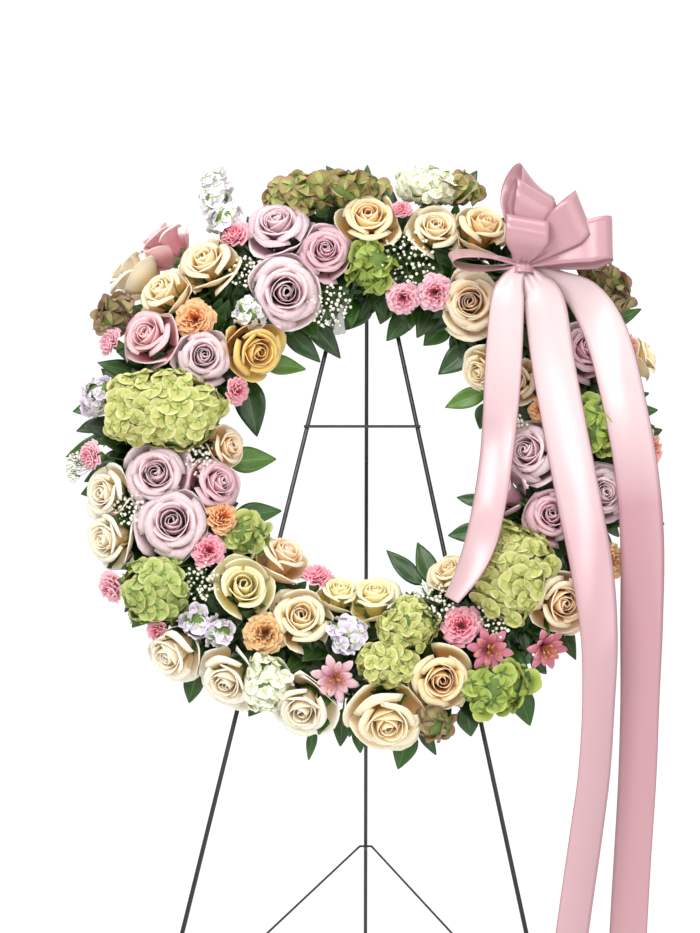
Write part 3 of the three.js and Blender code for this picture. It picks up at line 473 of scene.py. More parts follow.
def newTree(name, **inputs):
    tree = bpy.data.node_groups.new(name, "GeometryNodeTree")
    tree.is_modifier = True
    tree.interface.new_socket("Geometry", in_out="INPUT", socket_type="NodeSocketGeometry")
    for label, kind in inputs.items():
        tree.interface.new_socket(label, in_out="INPUT", socket_type="NodeSocket" + kind)
    tree.interface.new_socket("Geometry", in_out="OUTPUT", socket_type="NodeSocketGeometry")
    return tree, tree.nodes.new("NodeGroupInput").outputs


def endTree(tree, geometry, finish):
    real = addNode(tree, "GeometryNodeRealizeInstances", {0: geometry})
    dressed = addNode(tree, "GeometryNodeSetMaterial", {0: real, "Material": finish})
    addNode(tree, "NodeGroupOutput", {0: dressed})
    return tree


def grown(tree, mesh, values):
    # what a tree makes from a mesh, as a plain mesh
    thing = placed(mesh)
    modifier = thing.modifiers.new("grow", "NODES")
    modifier.node_group = tree
    for item in tree.interface.items_tree:
        if item.in_out == "INPUT" and item.name in values:
            modifier[item.identifier] = values[item.name]
    thing.update_tag()
    result = bpy.data.meshes.new_from_object(thing.evaluated_get(bpy.context.evaluated_depsgraph_get()))
    result.name = mesh.name
    bpy.data.objects.remove(thing)
    return result


def scatterTree():
    # florets or leaves all over a surface, each with its own spin, tilt, size and shade
    sizes = {"Spacing": "Float", "Smallest": "Float", "Largest": "Float", "Tilt": "Float"}
    tree, given = newTree("scatterOver", Piece="Object", **sizes, Seed="Int", Finish="Material")
    seed = given["Seed"]
    spread = addNode(
        tree,
        "GeometryNodeDistributePointsOnFaces",
        {"Mesh": given["Geometry"], "Distance Min": given["Spacing"], "Density Max": 500000.0, "Seed": seed},
        distribute_method="POISSON",
    )
    lean = addNode(tree, "ShaderNodeMath", {0: given["Tilt"], 1: 0.35}, operation="MULTIPLY")
    least = addNode(tree, "ShaderNodeCombineXYZ", {0: lean})
    most = addNode(tree, "ShaderNodeCombineXYZ", {0: given["Tilt"], 1: 0.3, 2: 2 * math.pi})
    turn = addNode(
        tree, "FunctionNodeRandomValue", {0: least, 1: most, "Seed": seed}, data_type="FLOAT_VECTOR"
    )
    euler = addNode(tree, "FunctionNodeEulerToRotation", {0: turn})
    turned = addNode(
        tree, "FunctionNodeRotateRotation", {0: spread.outputs["Rotation"], 1: euler}, rotation_space="LOCAL"
    )
    size = addNode(tree, "FunctionNodeRandomValue", {2: given["Smallest"], 3: given["Largest"], "Seed": seed})
    piece = addNode(tree, "GeometryNodeObjectInfo", {0: given["Piece"], "As Instance": True})
    copies = addNode(
        tree,
        "GeometryNodeInstanceOnPoints",
        {0: spread, "Instance": piece.outputs["Geometry"], "Rotation": turned, "Scale": size},
    )
    shade = addNode(tree, "FunctionNodeRandomValue", {2: 0.0, 3: 1.0, "Seed": 7})
    stored = addNode(
        tree,
        "GeometryNodeStoreNamedAttribute",
        {0: copies, "Name": "shade", "Value": shade},
        data_type="FLOAT",
        domain="INSTANCE",
    )
    return endTree(tree, stored, given["Finish"])


def wireTree():
    # round wire or stem along the mesh's edges, its bends rounded
    tree, given = newTree("wireAlong", Thickness="Float", Sides="Int", Bend="Float", Finish="Material")
    line = addNode(tree, "GeometryNodeMeshToCurve", {0: given["Geometry"]})
    bends = {"Curve": line, "Radius": given["Bend"], "Count": 6, "Limit Radius": True}
    bent = addNode(tree, "GeometryNodeFilletCurve", bends, mode="POLY")
    radius = addNode(tree, "ShaderNodeMath", {0: given["Thickness"], 1: 0.5}, operation="MULTIPLY")
    section = {"Resolution": given["Sides"], "Radius": radius}
    circle = addNode(tree, "GeometryNodeCurvePrimitiveCircle", section, mode="RADIUS")
    tube = addNode(
        tree, "GeometryNodeCurveToMesh", {"Curve": bent, "Profile Curve": circle, "Fill Caps": True}
    )
    return endTree(tree, tube, given["Finish"])


def sprayTree():
    # baby's breath: fine stalks along the mesh's edges, and a blossom at each point marked as a tip
    sizes = {"Thickness": "Float", "Smallest": "Float", "Largest": "Float"}
    tree, given = newTree("blossomSpray", Blossom="Object", **sizes, Finish="Material", Stalk="Material")
    line = addNode(tree, "GeometryNodeMeshToCurve", {0: given["Geometry"]})
    radius = addNode(tree, "ShaderNodeMath", {0: given["Thickness"], 1: 0.5}, operation="MULTIPLY")
    section = {"Resolution": 3, "Radius": radius}
    circle = addNode(tree, "GeometryNodeCurvePrimitiveCircle", section, mode="RADIUS")
    tube = addNode(tree, "GeometryNodeCurveToMesh", {0: line, 1: circle})
    stalks = addNode(tree, "GeometryNodeSetMaterial", {0: tube, "Material": given["Stalk"]})
    tip = addNode(tree, "GeometryNodeInputNamedAttribute", {"Name": "heart"}, data_type="FLOAT")
    marked = addNode(
        tree, "FunctionNodeCompare", {0: tip, 1: 0.5}, data_type="FLOAT", operation="GREATER_THAN"
    )
    turns = {0: (-0.6, -0.6, 0.0), 1: (0.6, 0.6, 6.28), "Seed": 3}
    spin = addNode(tree, "FunctionNodeRandomValue", turns, data_type="FLOAT_VECTOR")
    size = addNode(tree, "FunctionNodeRandomValue", {2: given["Smallest"], 3: given["Largest"], "Seed": 5})
    blossom = addNode(tree, "GeometryNodeObjectInfo", {0: given["Blossom"], "As Instance": True})
    copies = {
        "Points": given["Geometry"],
        "Selection": marked,
        "Instance": blossom.outputs["Geometry"],
        "Rotation": spin,
        "Scale": size,
    }
    real = addNode(
        tree, "GeometryNodeRealizeInstances", {0: addNode(tree, "GeometryNodeInstanceOnPoints", copies)}
    )
    white = addNode(tree, "GeometryNodeSetMaterial", {0: real, "Material": given["Finish"]})
    both = addNode(tree, "GeometryNodeJoinGeometry")
    tree.links.new(stalks.outputs[0], both.inputs[0])
    tree.links.new(white.outputs[0], both.inputs[0])
    addNode(tree, "NodeGroupOutput", {0: both})
    return tree


scatterOver = scatterTree()
wireAlong = wireTree()
blossomSpray = sprayTree()


def edgeMesh(name, lines, tips=()):
    # lines of points as loose edges; tips are marked where a blossom grows
    points = [tuple(point) for line in lines for point in line]
    edges = []
    start = 0
    for line in lines:
        edges += [(start + k, start + k + 1) for k in range(len(line) - 1)]
        start += len(line)
    mesh = bpy.data.meshes.new(name)
    mesh.from_pydata(points, edges, [])
    mark = mesh.attributes.new("heart", "FLOAT", "POINT")
    for k in tips:
        mark.data[k].value = 1.0
    return mesh


def wires(name, lines, thickness, finish, sides=12, bend=0.0):
    values = {"Thickness": thickness, "Sides": sides, "Bend": bend, "Finish": finishes[finish]}
    return grown(wireAlong, edgeMesh(name, lines), values)


# Where blooms sit on the ring, worked out as for the solids

seatRule = {
    "archHeight": 64,
    "archHalfWidth": 122,
    "bedTop": 29.5,
    "bedHalfWidth": 44.5,
    "tilt": math.radians(70),
    # how far a bloom reaches back, as a share of its depth
    "underside": {
        "rose": 0.84,
        "hydrangea": 0.62,
        "carnation": 0.5,
        "stock": 0.5,
        "lily": 0.5,
        "breath": 0.4,
    },
    # how much wider than their seats the blooms open, until they press against each other
    "opening": {
        "rose": 1.17,
        "hydrangea": 1.06,
        "carnation": 1.17,
        "stock": 1.1,
        "lily": 1.12,
        "breath": 1.0,
    },
}


def seat(kind, x, y, width, height=None):
    height = height or width
    radius = math.hypot(x, y)
    across = radius - ring["radius"] * 1000
    deep = min(width, height) / 2
    under = deep * seatRule["underside"][kind]
    beside = max(abs(across) - seatRule["bedHalfWidth"], 0)
    arch = seatRule["archHeight"] * math.sqrt(max(1 - (across / seatRule["archHalfWidth"]) ** 2, 0.01))
    clear = seatRule["bedTop"] + 1 + math.sqrt(under**2 - beside**2) if beside < under else 0
    out = max(arch, clear)
    tilt = math.copysign(1, across) * seatRule["tilt"] * min(abs(across) / 110, 1.1) ** 1.25
    full = seatRule["opening"][kind] * (1 + 0.10 * math.sin(tilt) ** 2)
    radial = right * (x / radius) + upSlope * (y / radius)
    facing = outward * math.cos(tilt) + radial * math.sin(tilt)
    sideways = (right - facing * facing.x).normalized() if abs(facing.x) < 0.9 else Vector((0, 1, 0))
    if abs(facing.x) >= 0.9:
        sideways = (sideways - facing * facing.y).normalized()
    return {
        "kind": kind,
        "centre": onWreath(x, y, out),
        "facing": facing,
        "sideways": sideways,
        "upwards": facing.cross(sideways),
        "halfWidth": width / 2000 * full,
        "halfHeight": height / 2000 * full,
        "deep": deep / 1000 * (1 + 0.35 * math.sin(tilt) ** 2),
        "across": across / 1000,
        "out": out / 1000,
        "tilt": tilt,
    }


def reachOf(head, way):
    a = way.dot(head["sideways"]) / head["halfWidth"]
    b = way.dot(head["upwards"]) / head["halfHeight"]
    c = way.dot(head["facing"]) / head["deep"]
    return 1 / math.sqrt(a * a + b * b + c * c)


def planesBetween(head, others):
    # neighbouring blooms press against each other in a plane between them
    planes = []
    for other in others:
        way = other["centre"] - head["centre"]
        distance = way.length
        if distance < 1e-6:
            continue
        way = way / distance
        mine = reachOf(head, way)
        theirs = reachOf(other, way)
        if mine + theirs < distance:
            continue
        planes.append((np.array(way), head["centre"].dot(way) + distance * mine / (mine + theirs)))
    return planes


def pressed(points, planes, give=0.75):
    for way, limit in planes:
        over = np.maximum(points @ way - limit, 0)
        points = points - over[..., None] * way * give
    return points


def inPlace(local, head, planes):
    # local is in the head's own half sizes: sideways, upwards and along the way it faces
    spot = np.array(head["centre"]) + local[..., 0:1] * np.array(head["sideways"]) * head["halfWidth"]
    spot = spot + local[..., 1:2] * np.array(head["upwards"]) * head["halfHeight"]
    spot = spot + local[..., 2:3] * np.array(head["facing"]) * head["deep"]
    return pressed(spot, planes)


goldenTurn = math.pi * (3 - math.sqrt(5))


def petalPoints(size, angle, halfAngle, root, swell, rim, shapeOf):
    # a petal as a grid: it rises from its root past its swell to its rim, and wraps round the bloom's axis
    rows, columns = size
    u = np.linspace(-1, 1, rows)[:, None]
    v = np.linspace(0, 1, columns)[None, :]
    reach, narrow, lift, push, twist = shapeOf(u, v)
    s = v * reach
    radius = (1 - s) ** 2 * root[0] + 2 * s * (1 - s) * swell[0] + s**2 * rim[0] + push
    height = (1 - s) ** 2 * root[1] + 2 * s * (1 - s) * swell[1] + s**2 * rim[1] + lift
    turn = angle + u * halfAngle * narrow + twist
    return np.stack([np.cos(turn) * radius, np.sin(turn) * radius, height], axis=2)


roses = {
    "grid": (9, 9),
    "thickness": 0.00035,
    "guards": 4,
    "styles": {
        # spirals stand high in the middle; cups are open with a sunken heart; buds are still closed
        "spiral": {
            "petals": 25,
            "heart": 0.03,
            "top": 0.52,
            "rise": 0.0,
            "fall": 0.58,
            "power": 2.0,
            "spread": 1.30,
            "roll": 1.2,
            "point": 0.12,
        },
        "cup": {
            "petals": 20,
            "heart": 0.04,
            "top": 0.34,
            "rise": 0.46,
            "fall": 0.86,
            "power": 2.0,
            "spread": 1.35,
            "roll": 0.95,
            "point": 0.07,
        },
        "bud": {
            "petals": 15,
            "heart": 0.04,
            "top": 0.62,
            "rise": 0.1,
            "fall": 0.60,
            "power": 2.4,
            "spread": 1.25,
            "roll": 0.8,
            "point": 0.10,
        },
    },
}


def roseShapes(head, planes, tone, style, seed):
    habit = roses["styles"][style]
    draw = random.Random(seed)
    shapes = []
    count = habit["petals"]
    for i in range(count):
        t = i / (count - 1)
        guard = i >= count - roses["guards"]
        roll = habit["roll"] * (0.3 + 0.8 * t) * draw.uniform(0.65, 1.35)
        rimRadius = habit["heart"] + (0.95 - habit["heart"]) * t ** habit["spread"]
        rimRadius *= draw.uniform(0.95, 1.04)
        rimHeight = habit["top"] + habit["rise"] * t - habit["fall"] * t ** habit["power"]
        rimHeight += draw.uniform(-0.03, 0.03)
        opened = min(max((t - 0.28) / 0.4, 0.0), 1.0)
        opened = opened * opened * (3 - 2 * opened)
        swellRadius = (1 - opened) * (rimRadius + 0.17) + opened * (0.70 * rimRadius + 0.03)
        swellHeight = (1 - opened) * (rimHeight - 0.40) + opened * (rimHeight + 0.05)
        if guard:
            swellRadius, swellHeight = 0.84, rimHeight - 0.40
        halfAngle = 0.86 + 1.45 * (1 - t) ** 2.2
        phase = draw.uniform(0, 6.28)
        point = habit["point"] * t

        def shapeOf(u, v):
            k = np.clip((v - 0.70) / 0.30, 0, 1)
            side = np.clip((np.abs(u) - 0.35) / 0.65, 0, 1)
            reach = 1 - 0.20 * np.abs(u) ** 2.6 + point * np.clip(1 - np.abs(u) * 2.2, 0, 1)
            narrow = 0.60 + 0.40 * np.sin(np.minimum(v / 0.55, 1) * math.pi / 2)
            wavy = 0.020 * np.sin(2.6 * u + phase) * v**2
            push = 0.080 * roll * k**2 + 0.045 * roll * side**2 * v + 0.030 * u * (1 - 0.4 * t) + wavy
            lift = -0.105 * roll * k**2 * (0.25 + t) - 0.11 * t * side**2 * v + 0.8 * wavy
            return reach, narrow, lift, push, 0.0

        local = petalPoints(
            roses["grid"],
            i * goldenTurn + seed * 0.7 + draw.uniform(-0.2, 0.2),
            halfAngle,
            (0.05 + 0.28 * t, -0.74),
            (swellRadius, swellHeight),
            (rimRadius, rimHeight),
            shapeOf,
        )
        deeper = max(0.0, 1 - t * 1.9)
        shapes.append(sheetShape(inPlace(local, head, planes), roses["thickness"], tone, heart=deeper))
    return shapes


carnations = {"petals": 24, "grid": (16, 5), "thickness": 0.0005}


def carnationShapes(head, planes, tone, seed):
    # crowded fringed petals that fan out of a narrow green cup
    draw = random.Random(seed)
    shapes = []
    for i in range(carnations["petals"]):
        t = (i + 0.5) / carnations["petals"]
        rimRadius = (0.12 + 0.84 * t**0.62) * draw.uniform(0.94, 1.04)
        rimHeight = 0.46 - 0.52 * t**1.6 + draw.uniform(-0.07, 0.07)
        phase = draw.uniform(0, 6.28)

        def shapeOf(u, v):
            fringe = 0.022 * np.where(np.arange(carnations["grid"][0])[:, None] % 2, 1, -1)
            reach = 1 - 0.12 * u**2 + fringe * (v > 0.9)
            narrow = 0.45 + 0.55 * v
            frill = np.sin(7.0 * u + phase) * v**2
            return reach, narrow, 0.11 * frill, 0.06 * np.cos(5.7 * u + phase) * v**2, 0.12 * frill

        local = petalPoints(
            carnations["grid"],
            i * goldenTurn + seed,
            0.86 - 0.16 * t,
            (0.05, -0.45),
            (0.10 + 0.3 * rimRadius, rimHeight * 0.2 - 0.05),
            (rimRadius, rimHeight),
            shapeOf,
        )
        deeper = max(0.0, 1 - t * 1.8)
        shapes.append(sheetShape(inPlace(local, head, planes), carnations["thickness"], tone, heart=deeper))
    return shapes + calyxShapes(head, 0.3, -0.42, -1.1)


def calyxShapes(head, radius, top, bottom, sides=10):
    # the green cup under a bloom, closed at both ends
    radii = np.array([[0.02, radius, radius * 0.95, radius * 0.35, 0.02]])
    turn = np.linspace(0, 2 * math.pi, sides + 1)[:, None]
    heights = np.array([[top, top + 0.04, (top + bottom) / 2, bottom, bottom]]) + 0 * turn
    local = np.stack([np.cos(turn) * radii, np.sin(turn) * radii, heights], axis=2)
    return [sheetShape(inPlace(local, head, [])[::-1], 0, "stem")]


lilies = {"petals": 12, "grid": (7, 8), "thickness": 0.0006, "innerSize": 0.72, "stamens": 9}


def lilyShapes(head, planes, tone, seed):
    # an open bloom: six petals, six shorter ones within, and stamens
    shapes = []
    draw = random.Random(seed)
    for i in range(lilies["petals"]):
        inner = i >= lilies["petals"] // 2
        angle = i * math.pi / 3 + seed + (0.5 if inner else 0)
        size = lilies["innerSize"] if inner else 1.0

        def shapeOf(u, v):
            reach = 1 - 0.4 * np.abs(u) ** 1.5
            narrow = np.sin(math.pi * (0.2 + 0.66 * v)) ** 0.5
            lift = -0.10 * u**2 + 0.04 * np.sin(6 * v + i)
            return reach, narrow, lift, 0.0, 0.0

        root, swell = (0.06, -0.4), (0.35, 0.22 + 0.1 * (i % 2))
        rim = (0.97 * size, 0.12 + 0.3 * (1 - size))
        local = inPlace(petalPoints(lilies["grid"], angle, 0.56, root, swell, rim, shapeOf), head, planes)
        shapes.append(sheetShape(local, lilies["thickness"], tone, heart=0.25 if inner else 0.0))
    for _ in range(lilies["stamens"]):
        angle = draw.uniform(0, 6.28)
        lean = draw.uniform(0.12, 0.4)
        tip = Vector((math.cos(angle) * lean, math.sin(angle) * lean, 0.5))
        rows = []
        for turn in np.linspace(0, 2 * math.pi, 5):
            around = Vector((math.cos(turn), math.sin(turn), 0))
            foot, neck = around * 0.01 + Vector((0, 0, -0.2)), tip + around * 0.02
            pollen, top = tip + around * 0.06 + Vector((0, 0, 0.05)), tip + Vector((0, 0, 0.13))
            rows.append([list(point) for point in (foot, neck, pollen, top)])
        local = np.array(rows)
        shapes.append(sheetShape(inPlace(local, head, [])[::-1], 0, "stamen"))
    return shapes


stalkRadius = 0.0011


def leafShape(root, base, tip, width, finish, lift=outward, curl=0.012, fold=0.16, shade=0.5, grid=(7, 13)):
    # a blade from its base to its tip, folded along the midrib, with a gently waved margin and a stalk
    rows, columns = grid
    axis = tip - base
    length = axis.length
    along = axis / length
    side = along.cross(lift).normalized()
    up = side.cross(along)
    u = np.linspace(-1, 1, rows)[:, None]
    v = np.linspace(0, 1, columns)[None, :]
    half = np.sin(math.pi * v**0.82) ** 0.8 * (1 - 0.35 * v**3) * width / 2 + 0.0006
    drop = -curl * v**2 + fold * np.abs(u) * half + 0.0012 * np.sin(9 * v + 2 * u) * np.abs(u)
    points = (
        np.array(base)
        + (v * length + 0 * u)[..., None] * np.array(along)
        + (u * half)[..., None] * np.array(side)
        + drop[..., None] * np.array(up)
    )
    shapes = [sheetShape(points, 0.0005, finish, shade=shade)]
    if root is not None:
        turn = np.linspace(0, 2 * math.pi, 7)[:, None]
        spine = np.array([list(root), list(root.lerp(base, 0.5) + up * 0.002), list(base + along * 0.004)])
        around = np.cos(turn)[..., None] * np.array(side) + np.sin(turn)[..., None] * np.array(up)
        shapes.append(sheetShape((spine[None] + around * stalkRadius)[::-1], 0, "stem"))
    return shapes


# Small pieces that are scattered


def floretPiece(name, size, petals=4, cup=0.3, layers=1, ruffle=0.0, seed=1, grid=(5, 4)):
    # broad round petals that overlap a little round a small eye
    draw = random.Random(seed)
    shapes = []
    for i in range(petals * layers):
        inner = i // petals
        angle = i * 2 * math.pi / petals + inner * 0.6 + draw.uniform(-0.08, 0.08)
        reach = size * 0.5 * (1 - 0.38 * inner) * draw.uniform(0.92, 1.05)
        u = np.linspace(-1, 1, grid[0])[:, None]
        v = np.linspace(0, 1, grid[1])[None, :]
        half = reach * 2.5 / petals * np.sqrt(np.clip(1 - ((v - 0.62) / 0.66) ** 2, 0, 1)) + 0.0004
        length = v * reach * (1 - 0.24 * u**2)
        height = reach * (cup * np.sin(2.3 * v) + 0.35 * cup * inner + 0.10 * u * u * v + 0.05 * (i % 2))
        height = height + ruffle * reach * np.sin(4 * u + i) * v**2
        x = np.cos(angle) * length - np.sin(angle) * u * half
        y = np.sin(angle) * length + np.cos(angle) * u * half
        shapes.append(sheetShape(np.stack([x, y, height], axis=2)[::-1], 0, "lime"))
    thing = placed(meshOf(name, shapes))
    thing.hide_render = True
    return thing


def leafPiece(name, length, width):
    tip, lift = Vector((0, length, 0)), Vector((0, 0, 1))
    blade = leafShape(None, Vector((0, 0, 0)), tip, width, "shadeLeaf", lift, 0.006, 0.22, grid=(5, 7))
    thing = placed(meshOf(name, blade))
    thing.hide_render = True
    return thing


def blossomPiece(name, size):
    # a tiny double flower: three rings of petals as one puckered bead
    sides = 7
    turn = np.linspace(0, 2 * math.pi, sides + 1)[:, None]
    pucker = 1 + 0.22 * np.cos(turn * sides / 2)
    radii = np.array([[0.02, 0.5, 0.95, 0.5, 0.04]]) * pucker * size / 2
    heights = np.array([[0.34, 0.42, 0.1, -0.35, -0.5]]) * size + 0 * turn
    points = np.stack([np.cos(turn) * radii, np.sin(turn) * radii, heights], axis=2)
    thing = placed(meshOf(name, [sheetShape(points[::-1], 0, "breath")]))
    thing.hide_render = True
    return thing


small = {
    "broadFloret": floretPiece("broadFloret", 0.027, cup=0.25, seed=1),
    "largeFloret": floretPiece("largeFloret", 0.034, cup=0.50, seed=2),
    "fineFloret": floretPiece("fineFloret", 0.021, cup=0.25, seed=3, grid=(4, 4)),
    "stockFloret": floretPiece("stockFloret", 0.025, petals=4, cup=0.35, layers=2, ruffle=0.12, seed=4),
    "fillerLeaf": leafPiece("fillerLeaf", 0.042, 0.021),
    "blossom": blossomPiece("blossom", 0.0042),
}


def domeMesh(name, head, planes, size, lowest=-0.82, tall=0.78, deep=0.72):
    # the rounded surface that florets grow from, size being its share of the whole head
    sides, levels = 28, 11
    turn = np.linspace(0, 2 * math.pi, sides + 1)[:, None]
    rise = np.linspace(lowest, 1, levels)[None, :] * math.pi / 2
    heights = np.where(rise > 0, np.sin(rise) * tall, np.sin(rise) * deep) * size + 0 * turn
    lumps = size * (1 + 0.06 * np.sin(3 * turn + 5 * rise) + 0.05 * np.cos(5 * turn - 3 * rise))
    radii = np.cos(rise) * lumps
    local = np.stack([np.cos(turn) * radii, np.sin(turn) * radii, heights], axis=2)
    return meshOf(name, [sheetShape(inPlace(local, head, planes)[::-1], 0, "core")])


def floretMeshes(name, head, planes, tone, look, seed):
    values = {
        "Piece": small[look["floret"]],
        "Spacing": look["spacing"],
        "Smallest": 0.74,
        "Largest": 1.14,
        "Tilt": look["tilt"],
        "Seed": seed,
        "Finish": finishes[tone],
    }
    surface = domeMesh(name + "Surface", head, planes, look["size"])
    core = domeMesh(name + "Core", head, planes, look["size"] * 0.8)
    return [grown(scatterOver, surface, values), core]


sprays = {"forks": 7, "stalk": 0.0007, "smallest": 0.65, "largest": 1.25, "few": 48, "many": 70}


def sprayMesh(name, head, seed, blossoms):
    # stalks fork from the root of the patch up to a cloud of blossoms
    draw = random.Random(seed)

    def spotAt(angle, share, reach):
        spread = head["deep"] * reach * math.sqrt(share)
        return (
            head["centre"]
            + head["sideways"] * math.cos(angle) * spread
            + head["upwards"] * math.sin(angle) * spread
        )

    root = head["centre"] - head["facing"] * head["deep"] * 1.3
    forks = []
    for k in range(sprays["forks"]):
        fork = spotAt(k * goldenTurn, (k + 0.5) / sprays["forks"], 0.55)
        forks.append(fork - head["facing"] * head["deep"] * 0.45)
    lines = [[root, fork] for fork in forks]
    for k in range(blossoms):
        spot = spotAt(k * goldenTurn + draw.uniform(-0.3, 0.3), (k + 0.5) / blossoms, 1.08)
        spot = spot + head["facing"] * head["deep"] * draw.uniform(-0.25, 0.42)
        lines.append([min(forks, key=lambda fork: (fork - spot).length), spot])
    tips = [2 * n + 1 for n in range(len(forks), len(lines))]  # two points to a line
    values = {
        "Blossom": small["blossom"],
        "Thickness": sprays["stalk"],
        "Smallest": sprays["smallest"],
        "Largest": sprays["largest"],
        "Finish": finishes["breath"],
        "Stalk": finishes["sprig"],
    }
    return grown(blossomSpray, edgeMesh(name, lines, tips), values)


# What blooms in each node: right of and above the ring's centre, size, tone and style

roseNodes = {
    "cream_roses_top": [
        (2, 286, 80, "amber", "cup"), (84, 274, 66, "cream", "cup"), (143, 278, 73, "amber", "cup"),
    ],
    "peach_rose_by_bow": [(126, 180, 75, "peach", "spiral")],
    "cream_roses_right_inner": [(138, 97, 50, "cream", "cup"), (181, 82, 54, "peach", "cup")],
    "cream_roses_upper_left": [
        (-196, 232, 73, "cream", "cup"), (-248, 196, 66, "cream", "cup"), (-295, 236, 70, "ivory", "cup"),
    ],
    "yellow_rose": [(-134, 122, 75, "golden", "cup")],
    "peach_rose_left_inner": [(-167, 4, 50, "peach", "cup")],
    "ivory_roses_left": [(-313, -54, 62, "ivory", "cup"), (-309, -108, 66, "ivory", "cup")],
    "cream_roses_lower_left": [
        (-99, -129, 65, "peach", "cup"), (-146, -171, 73, "lemon", "bud"),
        (-78, -205, 75, "cream", "cup"), (-32, -173, 53, "lemon", "cup"), (9, -178, 66, "lemon", "cup"),
    ],
    "ivory_roses_bottom_left": [(-231, -245, 71, "ivory", "cup"), (-164, -278, 72, "ivory", "cup")],
    "ivory_rose_bottom": [(-75, -311, 75, "ivory", "cup")],
    "cream_roses_bottom": [(24, -325, 88, "cream", "cup"), (86, -278, 77, "amber", "cup")],
    "cream_rose_lower_inner": [(97, -149, 51, "cream", "cup")],
    "peach_rose_right": [(230, -188, 76, "peach", "cup")],
    "cream_rose_right_edge": [(341, 122, 47, "cream", "cup")],
    "mauve_roses_top": [
        (-109, 276, 80, "mauve", "spiral"), (-50, 244, 68, "rosyMauve", "spiral"),
        (-99, 191, 90, "mauve", "spiral"),
    ],
    "mauve_rose_left_upper": [(-197, 112, 67, "mauve", "spiral")],
    "mauve_roses_left": [
        (-251, -34, 78, "mauve", "spiral"), (-180, -43, 65, "rosyMauve", "spiral"),
        (-230, -93, 88, "mauve", "spiral"),
    ],
    "mauve_rose_right_upper": [(264, 121, 62, "rosyMauve", "spiral")],
    "mauve_roses_right": [
        (195, -5, 74, "mauve", "spiral"), (160, -53, 66, "mauve", "bud"),
        (220, -83, 63, "rosyMauve", "spiral"), (279, -56, 66, "mauve", "spiral"),
    ],
    "pink_rose_left": [(-264, 138, 73, "pink", "cup")],
    "pink_rose_upper_left": [(-255, 275, 66, "pink", "cup")],
}
floretLooks = {
    "stock": {"floret": "stockFloret", "spacing": 0.0135, "size": 0.78, "tilt": 0.7},
    "broad": {"floret": "broadFloret", "spacing": 0.0132, "size": 0.9, "tilt": 0.55},
    "large": {"floret": "largeFloret", "spacing": 0.0165, "size": 0.82, "tilt": 0.9},
    "fine": {"floret": "fineFloret", "spacing": 0.0105, "size": 0.9, "tilt": 0.6},
}
hydrangeaNodes = {
    # width and height, then tone and look
    "green_hydrangea_left": [(-243, 46, 160, 107, "lime", "broad")],
    "green_hydrangea_right": [(170, -150, 106, 125, "lime", "broad")],
    "green_hydrangea_lower_left": [(-250, -173, 82, 86, "leafyLime", "broad")],
    "green_hydrangea_left_inner": [(-139, -106, 52, 50, "leafyLime", "large")],
    "green_hydrangea_bottom": [(47, -214, 76, 67, "lime", "fine"), (25, -261, 72, 57, "lime", "fine")],
    "white_hydrangea_top": [(76, 335, 74, 56, "whiteGreen", "fine")],
    "white_hydrangea_bottom": [(-118, -282, 61, 72, "whiteGreen", "fine")],
    "antique_hydrangea_top": [
        (-82, 322, 99, 66, "antique", "large"), (-18, 328, 86, 60, "antique", "large"),
    ],
    "antique_hydrangea_inner": [(5, 225, 65, 67, "olive", "large")],
    "antique_hydrangea_lower_right": [(154, -287, 92, 63, "olive", "large")],
    "antique_hydrangea_upper_right": [(292, 207, 78, 66, "dusky", "large")],
    "antique_hydrangea_right": [(277, 29, 62, 84, "olive", "large")],
}
carnationNodes = {
    "pink_carnations_top": [(44, 187, 39, "softPink", ""), (83, 193, 43, "softPink", "")],
}
stockNodes = {
    "stock_spike": [
        (-174, 293, 42, "whiteStock", ""), (-188, 332, 42, "whiteStock", ""),
        (-194, 356, 32, "whiteStock", ""),
    ],
}
fillers = {
    # small blooms between the heads: place, width and tone
    "carnation": [
        (110, -215, 47, "hotPink"), (-160, 268, 39, "hotPink"), (43, 299, 26, "hotPink"),
        (-311, 136, 34, "softPink"), (-157, 73, 31, "hotPink"), (-332, -6, 34, "softPink"),
        (-188, -125, 40, "hotPink"), (-304, -165, 36, "softPink"), (-247, -219, 29, "hotPink"),
        (-59, -154, 36, "hotPink"), (338, 3, 43, "coral"), (318, 132, 31, "coral"),
        (-208, 159, 48, "orange"), (-173, -85, 41, "orange"), (-120, -224, 49, "tan"),
        (285, -137, 44, "tan"), (210, 46, 32, "orange"),
    ],
    "stock": [
        (-202, -212, 39, "lavender"), (-175, -222, 39, "lavender"), (-25, -225, 49, "lavender"),
        (-139, 168, 46, "whiteStock"), (-325, 66, 48, "lavender"),
    ],
    "lily": [(143, -243, 53, "magenta"), (210, -240, 51, "magenta"), (-38, -277, 55, "rosyMauve")],
    "hydrangea": [(-308, 174, 53, "dusky"), (82, -328, 42, "dusky"), (122, 332, 44, "antique")],
    "breath": [
        (-145, 218, 43, ""), (49, 233, 63, ""), (-47, 179, 47, ""), (-198, -17, 36, ""),
        (-282, -74, 38, ""), (-197, -163, 43, ""), (76, -188, 49, ""), (148, -208, 43, ""),
        (-354, -18, 30, ""), (178, 23, 34, ""),
    ],
}
